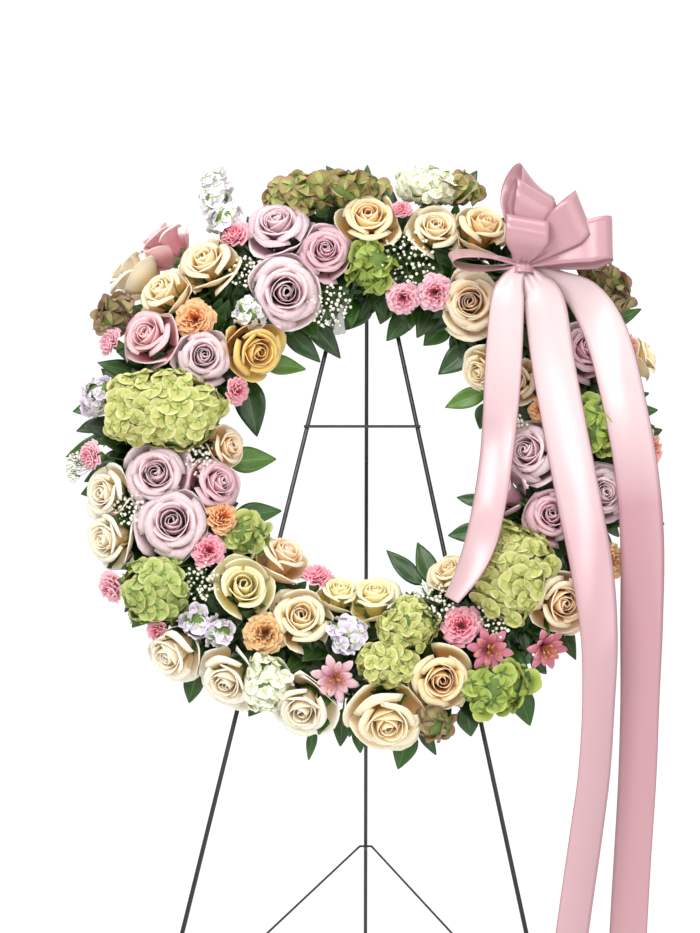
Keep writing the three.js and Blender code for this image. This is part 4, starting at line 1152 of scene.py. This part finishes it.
edgeLeaves = [
    # where each blade starts and ends, and its width
    (-69, 171, -32, 131, 27), (-99, 162, -57, 126, 27), (-119, 113, -75, 117, 25, "bright"),
    (-140, 97, -135, 31, 39), (-155, -2, -111, 3, 33, "bright"), (-148, -64, -104, -62, 27),
    (2, 205, -26, 167, 35), (56, 186, 25, 153, 28), (102, 173, 71, 147, 31), (135, 145, 89, 110, 34),
    (134, 78, 97, 68, 25, "bright"), (128, 62, 140, 40, 21), (127, -47, 110, -45, 16),
    (129, -79, 99, -93, 24), (59, -138, 24, -111, 22), (75, -143, 62, -101, 26), (-325, 74, -364, 63, 25),
    (-328, 51, -359, 38, 19), (-327, 36, -371, 5, 15), (-299, 9, -330, -19, 29),
    (-215, -271, -214, -298, 24), (-67, -347, -70, -366, 12), (-29, -313, -32, -350, 22),
    (-11, -338, -8, -358, 17), (55, -347, 37, -377, 30), (66, -344, 83, -360, 15),
    (124, -316, 125, -338, 28), (190, -294, 196, -325, 29), (206, -252, 217, -263, 17),
    (348, -70, 365, -79, 18), (-28, 372, -51, 384, 16), (-1, 365, 2, 385, 14), (336, 62, 361, 65, 19),
    (357, 31, 366, 40, 16), (125, 365, 141, 377, 21), (316, 181, 344, 195, 19),
]
headTables = [
    ("rose", roseNodes),
    ("carnation", carnationNodes),
    ("hydrangea", hydrangeaNodes),
    ("stock", stockNodes),
]
sectors = 8


def sectorOf(x, y):
    return int(((math.atan2(y, x) / (2 * math.pi) + 1) % 1) * sectors)


allSeats = []
for kind, table in headTables:
    for node, blooms in table.items():
        for x, y, *size, tone, style in blooms:
            allSeats.append({"node": node, "tone": tone, "style": style, **seat(kind, x, y, *size)})
for kind, blooms in fillers.items():
    for x, y, width, tone in blooms:
        node = f"greens_{sectorOf(x, y) + 1}"
        allSeats.append({"node": node, "tone": tone, "style": "", **seat(kind, x, y, width)})


def bloomMeshes(name, head, seed):
    # every sort of bloom, from its seat
    others = [other for other in allSeats if other is not head and other["kind"] != "breath"]
    planes = planesBetween(head, others)
    kind, tone = head["kind"], head["tone"]
    if kind == "breath":
        return [sprayMesh(name, head, seed, sprays["many"] if head["deep"] > 0.024 else sprays["few"])]
    if kind in ("stock", "hydrangea"):
        look = floretLooks["stock" if kind == "stock" else head["style"] or "large"]
        return floretMeshes(name, head, planes, tone, look, seed)
    if kind == "rose":
        shapes = roseShapes(head, planes, tone, head["style"], seed) + calyxShapes(head, 0.28, -0.62, -0.95)
    if kind == "carnation":
        shapes = carnationShapes(head, planes, tone, seed)
    if kind == "lily":
        shapes = lilyShapes(head, planes, tone, seed)
    return [meshOf(name, shapes)]


stems = {"rose": 0.0044, "hydrangea": 0.005, "carnation": 0.003, "stock": 0.0034, "filler": 0.0026}


def dressHeads():
    # the blooms of one node, with the stem that they share
    names = [node for _, table in headTables for node in table]
    for turn, node in enumerate(names):
        heads = [head for head in allSeats if head["node"] == node]
        meshes = []
        for k, head in enumerate(heads):
            meshes += bloomMeshes(f"{node}_{k}", head, turn * 5 + k)
        first = heads[0]
        lines = [[first["centre"] - first["facing"] * first["deep"] * 0.9, onFoam(first)]]
        for head in heads[1:]:
            earlier = heads[: heads.index(head)]
            nearest = min(earlier, key=lambda other: (other["centre"] - head["centre"]).length)
            lines.append([near["centre"] - near["facing"] * near["deep"] * 0.5 for near in (nearest, head)])
        meshes.append(wires(node + "Stem", lines, stems[first["kind"]] * 0.9, "stem", sides=7))
        piece = joined(node + "_bloom", meshes)
        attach(piece, "stand")
        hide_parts(node)
    print("heads dressed:", len(names))


def onFoam(head):
    # where the stem's axis has gone a little way into the foam
    for step in range(1, 160):
        depth = step / 1000
        across = abs(head["across"] - math.sin(head["tilt"]) * depth)
        out = head["out"] - math.cos(head["tilt"]) * depth
        if abs(out) < ring["halfHeight"] and across < ring["halfWidth"]:
            return head["centre"] - head["facing"] * (depth + 0.012)
    return head["centre"] - head["facing"] * 0.03


bed = {"gap": 0.0007, "thickness": 0.0032, "leafSpacing": 0.0125, "steps": 14}


def bedSurface(sector, grow):
    # the skin over the foam's front and shoulders, through an eighth of the ring
    narrow = ring["shoulder"]
    edge = ring["halfWidth"] + grow * 1.1
    face = ring["halfWidth"] - narrow + grow * 0.6
    top = ring["halfHeight"] + grow
    half = [(edge, ring["shoulderAt"]), (edge - narrow * 0.45, 0.008), (face, top), (face * 0.5, top)]
    profile = half + [(0, top)] + [(-across, out) for across, out in half[::-1]]
    trim = 0.002
    start = sector * 2 * math.pi / sectors + trim
    end = (sector + 1) * 2 * math.pi / sectors - trim
    grid = []
    for k in range(bed["steps"] + 1):
        angle = start + (end - start) * k / bed["steps"]
        row = []
        for across, out in profile:
            radius = (ring["radius"] + across) * 1000
            row.append(list(onWreath(math.cos(angle) * radius, math.sin(angle) * radius, out * 1000)))
        grid.append(row)
    return np.array(grid)


collar = {
    # rows of leaves that spread from the foam's edges under the blooms
    "outer": {
        "side": 1, "count": 52, "length": (46, 66),
        "width": (24, 34), "lift": (-8, 48), "out": (-14, 6),
    },
    "outerFront": {
        "side": 1, "count": 40, "length": (40, 56),
        "width": (22, 30), "lift": (30, 70), "out": (8, 20),
    },
    "inner": {
        "side": -1, "count": 34, "length": (30, 44),
        "width": (20, 28), "lift": (0, 50), "out": (-14, 6),
    },
}


def collarShapes(sector):
    shapes = []
    for row, habit in enumerate(collar.values()):
        draw = random.Random(60 + row)
        for n in range(habit["count"]):
            turn = (n + draw.uniform(-0.3, 0.3)) / habit["count"] * 2 * math.pi
            length, width = draw.uniform(*habit["length"]), draw.uniform(*habit["width"])
            lift = math.radians(draw.uniform(*habit["lift"]))
            aside = math.radians(draw.uniform(-28, 28))
            out = draw.uniform(*habit["out"])
            shade = draw.random()
            x, y = math.cos(turn), math.sin(turn)
            if sectorOf(x, y) != sector:
                continue
            radial = (right * x + upSlope * y) * habit["side"]
            around = right * -y + upSlope * x
            way = (radial * math.cos(aside) + around * math.sin(aside)) * math.cos(lift)
            way = way + outward * math.sin(lift)
            edge = ring["radius"] * 1000 + habit["side"] * (37 if out < 8 else 31)
            root = onWreath(x * edge, y * edge, out)
            base = root + way * 0.008
            lean = (outward * math.cos(lift) - radial * math.sin(lift)).normalized()
            finish = "leaf" if shade > 0.45 else "shadeLeaf"
            tip = base + way * length / 1000
            shapes += leafShape(root, base, tip, width / 1000, finish, lean, 0.008, 0.2, shade, (5, 9))
    return shapes


def dressGreens():
    for k in range(sectors):
        node = "greens_" + str(k + 1)
        pinned = bedSurface(k, bed["gap"] + bed["thickness"] / 2)
        meshes = [meshOf(node + "_pinned", [sheetShape(pinned, bed["thickness"], "shadeLeaf")])]
        skin = bedSurface(k, bed["gap"] + bed["thickness"])
        carpet = meshOf(node + "_carpet", [sheetShape(skin, 0, "shadeLeaf")])
        values = {
            "Piece": small["fillerLeaf"],
            "Spacing": bed["leafSpacing"],
            "Smallest": 0.7,
            "Largest": 1.15,
            "Tilt": 1.0,
            "Seed": 20 + k,
            "Finish": finishes["shadeLeaf"],
        }
        meshes.append(grown(scatterOver, carpet, values))
        blades = collarShapes(k)
        for n, (baseX, baseY, tipX, tipY, width, *bright) in enumerate(edgeLeaves):
            if sectorOf(baseX, baseY) != k:
                continue
            radius = math.hypot(baseX, baseY)
            edge = ring["radius"] * 1000 + math.copysign(ring["halfWidth"] * 1000 - 3, radius - 250)
            root = onWreath(baseX / radius * edge, baseY / radius * edge, 4)
            base = onWreath(baseX, baseY, -13).lerp(root, 0.3)
            tip = onWreath(tipX, tipY, -14)
            finish = "brightLeaf" if bright else "leaf"
            blades += leafShape(root, base, tip, width / 1000, finish, curl=0.004, shade=(n * 0.37) % 1)
        if blades:
            meshes.append(meshOf(node + "_blades", blades))
        lines = []
        for n, head in enumerate(allSeats):
            if head["node"] != node:
                continue
            meshes += bloomMeshes(f"{node}_filler{n}", head, 100 + n)
            lines.append([head["centre"] - head["facing"] * head["deep"] * 0.8, onFoam(head)])
        if lines:
            meshes.append(wires(node + "_stems", lines, stems["filler"], "stem", sides=6))
        piece = joined(node + "_foliage", meshes)
        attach(piece, "stand")
        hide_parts(node)
    print("greens dressed:", sectors)


# The ribbon

ribbon = {
    "width": 0.052,
    "thickness": 0.0005,
    "knot": (186, 213, 108),  # its place on the wreath
    "acrossSteps": 9,
    "loopSteps": 40,
    "wrapSteps": 25,
    "wrapWidth": 0.024,
    "tailSteps": 96,
    "curl": 0.012,  # how far a tail's edges curl back
}
bowLoops = [
    # which way a loop points, its length and depth in mm, its turn about its length, its end's slant
    {"toward": (0.1, 1, 0.02), "length": 103, "fat": 46, "roll": 24, "slant": -40},
    {"toward": (0.14, 0.9, 0.42), "length": 88, "fat": 42, "roll": 10, "slant": -24},
    {"toward": (0.04, 0.58, 0.82), "length": 62, "fat": 38, "roll": 0, "slant": -8},
    {"toward": (0.74, 0.58, 0.4), "length": 94, "fat": 40, "roll": 12, "slant": -20},
    {"toward": (1, 0.24, 0.25), "length": 108, "fat": 38, "roll": 0, "slant": -14},
    {"toward": (-1, 0.06, 0.1), "length": 84, "fat": 18, "roll": 62, "slant": 0},
]
tailPaths = {
    # right, up, out, width that shows, and turn about the tail in degrees
    "ribbon_tail_left": [
        (183, 209, 112, 14, 0), (172, 190, 112, 30, 0), (167, 166, 110, 40, 0), (162, 94, 98, 44, 6),
        (158, 33, 88, 42, 10), (153, -16, 85, 40, 14), (144, -72, 90, 40, 14), (132, -122, 103, 40, 20),
        (117, -158, 106, 36, 30), (97, -190, 103, 26, 40),
    ],
    "ribbon_tail_middle": [
        (188, 210, 107, 14, 0), (200, 191, 105, 34, 0), (212, 167, 102, 50, -4), (222, 94, 92, 52, 0),
        (236, 10, 86, 52, 4), (250, -73, 85, 52, 6), (263, -153, 86, 50, 0), (270, -232, 81, 44, -8),
        (269, -310, 64, 42, -20), (264, -387, 48, 44, -26), (254, -461, 32, 46, -28),
        (241, -550, 13, 46, -28), (226, -660, -10, 46, -28),
    ],
    "ribbon_tail_right": [
        (193, 212, 102, 14, 0), (226, 198, 97, 26, 10), (261, 177, 92, 44, 12), (287, 130, 89, 52, 4),
        (306, 47, 87, 52, 0), (319, -33, 79, 52, 0), (325, -116, 67, 52, 0), (324, -211, 49, 50, 6),
        (322, -300, 30, 46, 14), (319, -387, 12, 46, 22), (314, -470, -6, 46, 26),
        (309, -552, -23, 46, 26), (302, -690, -53, 46, 26),
    ],
}
# painted highlight: how light the satin is painted at both ends of each tail, lighter on tails that catch
# more light; its middle is painted lightest, where light catches it
tailPaintedHighlights = {"ribbon_tail_left": 0.58, "ribbon_tail_middle": 0.4, "ribbon_tail_right": 0.2}


def smoothed(rows, steps):
    # a smooth run through rows of numbers
    rows = np.array(rows, float)
    spans = len(rows) - 1
    out = []
    for k in range(steps + 1):
        where = k / steps * spans
        i = min(int(where), spans - 1)
        f = where - i
        p0, p1, p2, p3 = rows[max(i - 1, 0)], rows[i], rows[i + 1], rows[min(i + 2, spans)]
        bend = (2 * p0 - 5 * p1 + 4 * p2 - p3) * f**2 + (3 * p1 - p0 - 3 * p2 + p3) * f**3
        out.append(0.5 * (2 * p1 + (p2 - p0) * f + bend))
    return np.array(out)


def bandShape(points, sides, widths, gathers, bow=0.0, shade=0.2):
    # ribbon along points; sides lie across it, and gathers is how deep it pleats there; shade is how light
    # the satin is painted, as painted highlight, and the bow's loops and wrap keep the low 0.2
    points, sides, widths, gathers = map(np.array, (points, sides, widths, gathers))
    along = np.gradient(points, axis=0)
    along /= np.linalg.norm(along, axis=1, keepdims=True)
    sides = sides - along * np.sum(sides * along, axis=1, keepdims=True)
    sides /= np.linalg.norm(sides, axis=1, keepdims=True)
    normals = np.cross(along, sides)
    u = np.linspace(-0.5, 0.5, ribbon["acrossSteps"])
    lift = gathers[:, None] * np.cos(u * 3 * 2 * math.pi)[None, :] + bow * (0.25 - u**2)[None, :]
    spread = points[:, None, :] + sides[:, None, :] * (u[None, :] * widths[:, None])[..., None]
    spread = spread + normals[:, None, :] * lift[..., None]
    return sheetShape(spread.transpose(1, 0, 2), ribbon["thickness"], "satin", shade=shade)


def dressRibbons():
    knot = onWreath(*ribbon["knot"])
    shapes = []
    for loop in bowLoops:
        x, y, out = loop["toward"]
        way = (right * x + upSlope * y + outward * out).normalized()
        flat = way.cross(outward).normalized()
        flat = Matrix.Rotation(math.radians(loop["roll"]), 3, way) @ flat
        lifted = flat.cross(way)
        points, sides, widths, gathers = [], [], [], []
        for k in range(ribbon["loopSteps"] + 1):
            turn = k / ribbon["loopSteps"] * 2 * math.pi
            share = (1 - math.cos(turn)) / 2
            lift = -loop["fat"] * 0.65 * math.sin(turn) * (0.35 + 0.65 * share) / 1000
            points.append(knot + way * (loop["length"] * share + 3) / 1000 + lifted * lift)
            slant = math.radians(loop["slant"]) * share
            sides.append(flat * math.cos(slant) + way * math.sin(slant))
            widths.append(ribbon["width"] * min(1, 0.2 + 1.1 * share))
            gathers.append(0.0035 * max(0.0, 1 - share * 2.2))
        shapes.append(bandShape(points, sides, widths, gathers))
    wrap = []
    steps = ribbon["wrapSteps"]
    for turn in np.linspace(0, 2 * math.pi, steps):
        around = right * math.cos(turn) * 0.0125 + outward * math.sin(turn) * 0.011
        wrap.append(knot + around)
    shapes.append(bandShape(wrap, [upSlope] * steps, [ribbon["wrapWidth"]] * steps, [0.0008] * steps))
    bow = joined("satin_bow", [meshOf("satin_bow", shapes)])
    knotX, knotY, _ = ribbon["knot"]
    pickLine = [onWreath(knotX, knotY, 106), onWreath(knotX - 8, knotY - 8, 12)]
    pick = joined("bow_pick", [wires("bow_pick", [pickLine], 0.003, "wood", sides=10)])
    for piece in (bow, pick):
        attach(piece, "stand")
        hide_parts("ribbon_bow")
    for node, path in tailPaths.items():
        rows = smoothed(path, ribbon["tailSteps"])
        points = [onWreath(x, y, out) for x, y, out, _, _ in rows]
        turns = [math.radians(turn) for *_, turn in rows]
        sides = [right * math.cos(turn) + outward * math.sin(turn) for turn in turns]
        widths = [width / 1000 for *_, width, _ in rows]
        gathers = [0.003 * max(0.0, 1 - k / 12) for k in range(len(rows))]
        # painted highlight: each tail is painted lighter along its upper part, standing in for light catching
        # the satin
        down = np.linspace(0, 1, len(rows))
        lit = np.sin(np.clip(down * 2.2, 0, 1) * math.pi) ** 0.7
        shade = tailPaintedHighlights[node] + (0.95 - tailPaintedHighlights[node]) * lit
        band = bandShape(points, sides, widths, gathers, bow=ribbon["curl"], shade=shade)
        tail = joined(node + "_satin", [meshOf(node + "_satin", [band])])
        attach(tail, "stand")
        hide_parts(node)
    print("bow and tails dressed")


# The easel


def legX(foot, up):
    return foot * (easel["apexUp"] - up) / easel["apexUp"]


def eyeLine(centre, radius):
    return [centre + Vector((0, math.cos(a), math.sin(a))) * radius for a in np.linspace(0, 2 * math.pi, 25)]


def aboveFloor(start, end):
    # the end of a leg, cut where it meets the floor
    way = (end - start).normalized()
    return start + way * (start.z / -way.z)


def dressEasel():
    left, rightSide = easel["leftFoot"], easel["rightFoot"]
    up = easel["topBarUp"]

    def leg(foot, inward):
        # from the foot up, and round its corner to the level top
        shoulder = up - 0.014
        x = legX(foot, shoulder)
        bend = [
            onSlope(x, shoulder, 0),
            onSlope(x + inward * 0.0045, up - 0.005, 0),
            onSlope(x + inward * 0.010, up, 0),
        ]
        return [aboveFloor(bend[0], onSlope(legX(foot, 0), 0, 0))] + bend

    legs = leg(left, 1) + leg(rightSide, -1)[::-1]
    out = easel["frontWire"] / 2 + 0.0003 + easel["crossWire"] / 2
    barUp = easel["crossbarUp"]
    barEnds = (legX(left, barUp) - 0.004, legX(rightSide, barUp) + 0.004)
    bar = [onSlope(x, barUp, out) for x in barEnds]
    hinge = onSlope(0.001, up, 0)
    down = Vector((0, math.sin(easel["backLegAngle"]), -math.cos(easel["backLegAngle"])))
    front = Vector((0, -math.cos(easel["backLegAngle"]), -math.sin(easel["backLegAngle"])))
    eyeRadius = easel["frontWire"] / 2 + easel["eyeGap"] + easel["backWire"] / 2
    backTop = hinge + down * eyeRadius
    backLine = [backTop, aboveFloor(backTop, backTop + down)]
    ahead = easel["backWire"] / 2 + easel["braceWire"] / 2 + easel["eyeGap"]
    braceHinge = hinge + down * easel["braceEyeDown"] + front * ahead
    reach = easel["frontWire"] / 2 + easel["braceWire"] / 2 + easel["hookGap"]

    def arm(foot):
        side = math.copysign(1, foot)
        x = legX(foot, easel["braceUp"])
        return [
            braceHinge + right * side * 0.008,
            onSlope(x - side * (reach + 0.0025), easel["braceUp"], reach - 0.002),
            onSlope(x - side * reach * 0.5, easel["braceUp"], reach),
            onSlope(x + side * 0.009, easel["braceUp"], reach),
        ]

    braceLine = arm(left)[::-1] + arm(rightSide)
    braceEyeRadius = easel["braceWire"] / 2 + easel["eyeGap"] + easel["eyeWire"] / 2
    made = {
        "front_legs": [("front_legs_wire", [legs], easel["frontWire"], 0.006)],
        "crossbar": [("crossbar_wire", [bar], easel["crossWire"], 0)],
        "back_leg": [
            ("back_leg_wire", [backLine], easel["backWire"], 0),
            ("back_leg_eye", [eyeLine(hinge, eyeRadius)], easel["backWire"] * 0.8, 0),
            ("brace_eye", [eyeLine(braceHinge, braceEyeRadius)], easel["eyeWire"], 0),
        ],
        "brace": [("brace_wire", [braceLine], easel["braceWire"], 0.002)],
    }
    for node, parts in made.items():
        meshes = []
        for name, lines, thick, bend in parts:
            meshes.append(wires(name, lines, thick, "paint", sides=16, bend=bend))
        piece = joined(node + "_wire", meshes)
        body = node if node in ("back_leg", "brace") else "stand"
        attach(piece, body)
        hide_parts(*([node, "hinge_eye", "brace_eye"] if node == "back_leg" else [node]))
    print("easel dressed")


def lathed(profile, finish, sides=128):
    # a closed profile, across and out from mid-foam, turned round the wreath's axis
    outline = profile + profile[:1]
    grid = []
    for k in range(sides + 1):
        angle = k / sides * 2 * math.pi
        row = []
        for across, out in outline:
            radius = ring["radius"] * 1000 + across
            row.append(list(onWreath(math.cos(angle) * radius, math.sin(angle) * radius, out)))
        grid.append(row)
    return sheetShape(np.array(grid), 0, finish)


def dressRing():
    wide = ring["halfWidth"] * 1000 - 1.2
    high = ring["halfHeight"] * 1000
    bevel = ring["shoulder"] * 1000
    at = ring["shoulderAt"] * 1000
    side = [(wide, -high), (wide, at), (wide - bevel, high)]
    foam = side + [(-across, up) for across, up in side[::-1]]
    inside = ring["halfWidth"] * 1000 - 0.9
    outside = inside + ring["trayWall"] * 1000
    floorAt = -high - 0.3
    rim = ring["trayRim"] * 1000 - high
    # the outer half of the tray's section, from its underside to its floor; the inner half mirrors it
    half = [
        (outside - 9.5, floorAt - 1.2),
        (outside - 8, floorAt - 2.2),
        (outside, floorAt - 2.2),
        (outside, rim - 1.6),
        (outside + 0.9, rim - 1.3),
        (outside + 0.9, rim - 0.2),
        (outside, rim),
        (inside, rim),
        (inside, floorAt),
    ]
    tray = half + [(-across, up) for across, up in half[::-1]]
    for node, profile, slot in (("foam_ring", foam, "foam"), ("ring_tray", tray, "tray")):
        mesh = meshOf(node + "_turned", [lathed(profile, slot)])  # the slot is named as the finish
        mesh.polygons.foreach_set("use_smooth", np.zeros(len(mesh.polygons), dtype=bool))
        piece = joined(node + "_turned", [mesh])
        weld = piece.modifiers.new("weld", "WELD")
        weld.merge_threshold = 0.00001
        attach(piece, "stand")
        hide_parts(node)
    for node in frame["nodes"]:
        if node.startswith("staple_"):
            frame["nodes"][node].data.materials.clear()
            frame["nodes"][node].data.materials.append(finishes["steel"])
    print("ring, tray and staples dressed")


film = {
    "facing": math.radians(97.5),  # round the ring, from its right
    "steps": 22,
    "acrossSteps": 15,
    "width": 30,
    "length": 39,
    "narrows": 11,
    "thickness": 0.0002,
}


def dressFilm():
    # the crumpled loose end of clear film
    facing = film["facing"]
    wall = (ring["radius"] - ring["halfWidth"] - ring["gap"] - ring["trayWall"]) * 1000
    wall = wall * math.cos(math.pi / 24)  # the solid's wall has 24 flats
    draw = random.Random(4)
    steps, across = film["steps"], film["acrossSteps"]
    grid = []
    for k in range(across):
        u = k / (across - 1) - 0.5
        row = []
        for n in range(steps):
            v = n / (steps - 1)
            inward = wall - 0.6 - v * film["length"]
            aside = 8 + v * 6 + u * (film["width"] - v * film["narrows"])
            crumple = 1.6 * math.sin(v * 17 + u * 5) + 1.4 * math.sin(u * 21 + v * 6) * (0.3 + v)
            out = -23.5 + crumple + draw.uniform(-0.5, 0.5) * v
            x = math.cos(facing) * inward - math.sin(facing) * aside
            y = math.sin(facing) * inward + math.cos(facing) * aside
            row.append(list(onWreath(x, y, out)))
        grid.append(row)
    sheet = sheetShape(np.array(grid), film["thickness"], "film")
    piece = joined("loose_film", [meshOf("loose_film", [sheet])])
    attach(piece, "stand")
    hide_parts("film_wrap")
    print("film dressed")


def dressStage():
    # a pale floor that sweeps up behind into the backdrop; the paper glows faintly though it is no lamp, a
    # painted light
    sweep = {
        "front": -7.0,
        "bendStarts": 5.6,
        "bendRadius": 1.4,
        "top": 10.0,
        "halfWidth": 10.0,
        "glow": 0.26,
    }
    profile = [(sweep["front"], 0.0), (sweep["bendStarts"], 0.0)]
    for turn in np.linspace(0.1, math.pi / 2, 12):
        along = sweep["bendStarts"] + math.sin(turn) * sweep["bendRadius"]
        profile.append((along, (1 - math.cos(turn)) * sweep["bendRadius"]))
    profile.append((sweep["bendStarts"] + sweep["bendRadius"], sweep["top"]))
    grid = np.array([[[x, y, z] for y, z in profile] for x in (-sweep["halfWidth"], sweep["halfWidth"])])
    paper = finishes["floor"].node_tree.nodes["Principled BSDF"]
    # painted light: the paper is given a faint white glow so the backdrop reads brighter
    paper.inputs["Emission Color"].default_value = (1, 1, 1, 1)
    paper.inputs["Emission Strength"].default_value = sweep["glow"]
    joined("paper_sweep", [meshOf("paper_sweep", [sheetShape(grid, 0, "floor")])])
    world = bpy.data.worlds.new("studio")
    world.use_nodes = True
    world.node_tree.nodes["Background"].inputs[0].default_value = (1, 1, 1, 1)
    world.node_tree.nodes["Background"].inputs[1].default_value = 0.55
    bpy.context.scene.world = world
    lights = {
        "keyLight": {"at": (-1.6, -2.6, 3.0), "size": 1.6, "power": 70},
        "frontLight": {"at": (0.2, -3.3, 2.35), "size": 0.9, "power": 29},
        "fillLight": {"at": (2.2, -2.6, 1.6), "size": 2.0, "power": 24},
        "topLight": {"at": (0.1, -0.2, 3.4), "size": 1.4, "power": 30},
        "backdropLight": {"at": (0.0, 3.6, 4.6), "size": 4.0, "power": 90},
    }
    for name, look in lights.items():
        lamp = bpy.data.lights.new(name, "AREA")
        lamp.size = look["size"]
        lamp.energy = look["power"]
        thing = bpy.data.objects.new(name, lamp)
        thing.location = look["at"]
        target = Vector((0, 6.5, 0.8)) if name == "backdropLight" else Vector((0, -0.15, 0.9))
        thing.rotation_euler = (target - thing.location).to_track_quat("-Z", "Y").to_euler()
        bpy.context.scene.collection.objects.link(thing)


def placeCamera():
    # level, straight on, as the photograph was taken; the long side of the picture is 933 of 36 mm
    look = {"at": (-0.0186, -2.7790, 0.9744), "lens": 2167 / 933 * 36}
    camera = bpy.data.cameras.new("camera")
    camera.lens = look["lens"]
    camera.sensor_width = 36
    thing = bpy.data.objects.new("camera", camera)
    thing.location = look["at"]
    thing.rotation_euler = (math.pi / 2, 0, 0)
    bpy.context.scene.collection.objects.link(thing)
    bpy.context.scene.camera = thing
    bpy.context.scene.view_settings.view_transform = "Standard"


placeCamera()
dressStage()
dressHeads()
dressGreens()
dressRibbons()
dressEasel()
dressRing()
dressFilm()
for thing in small.values():
    bpy.data.objects.remove(thing)
total = sum(len(thing.data.polygons) for thing in bpy.context.scene.objects if thing.type == "MESH")
print("faces in the scene:", total)
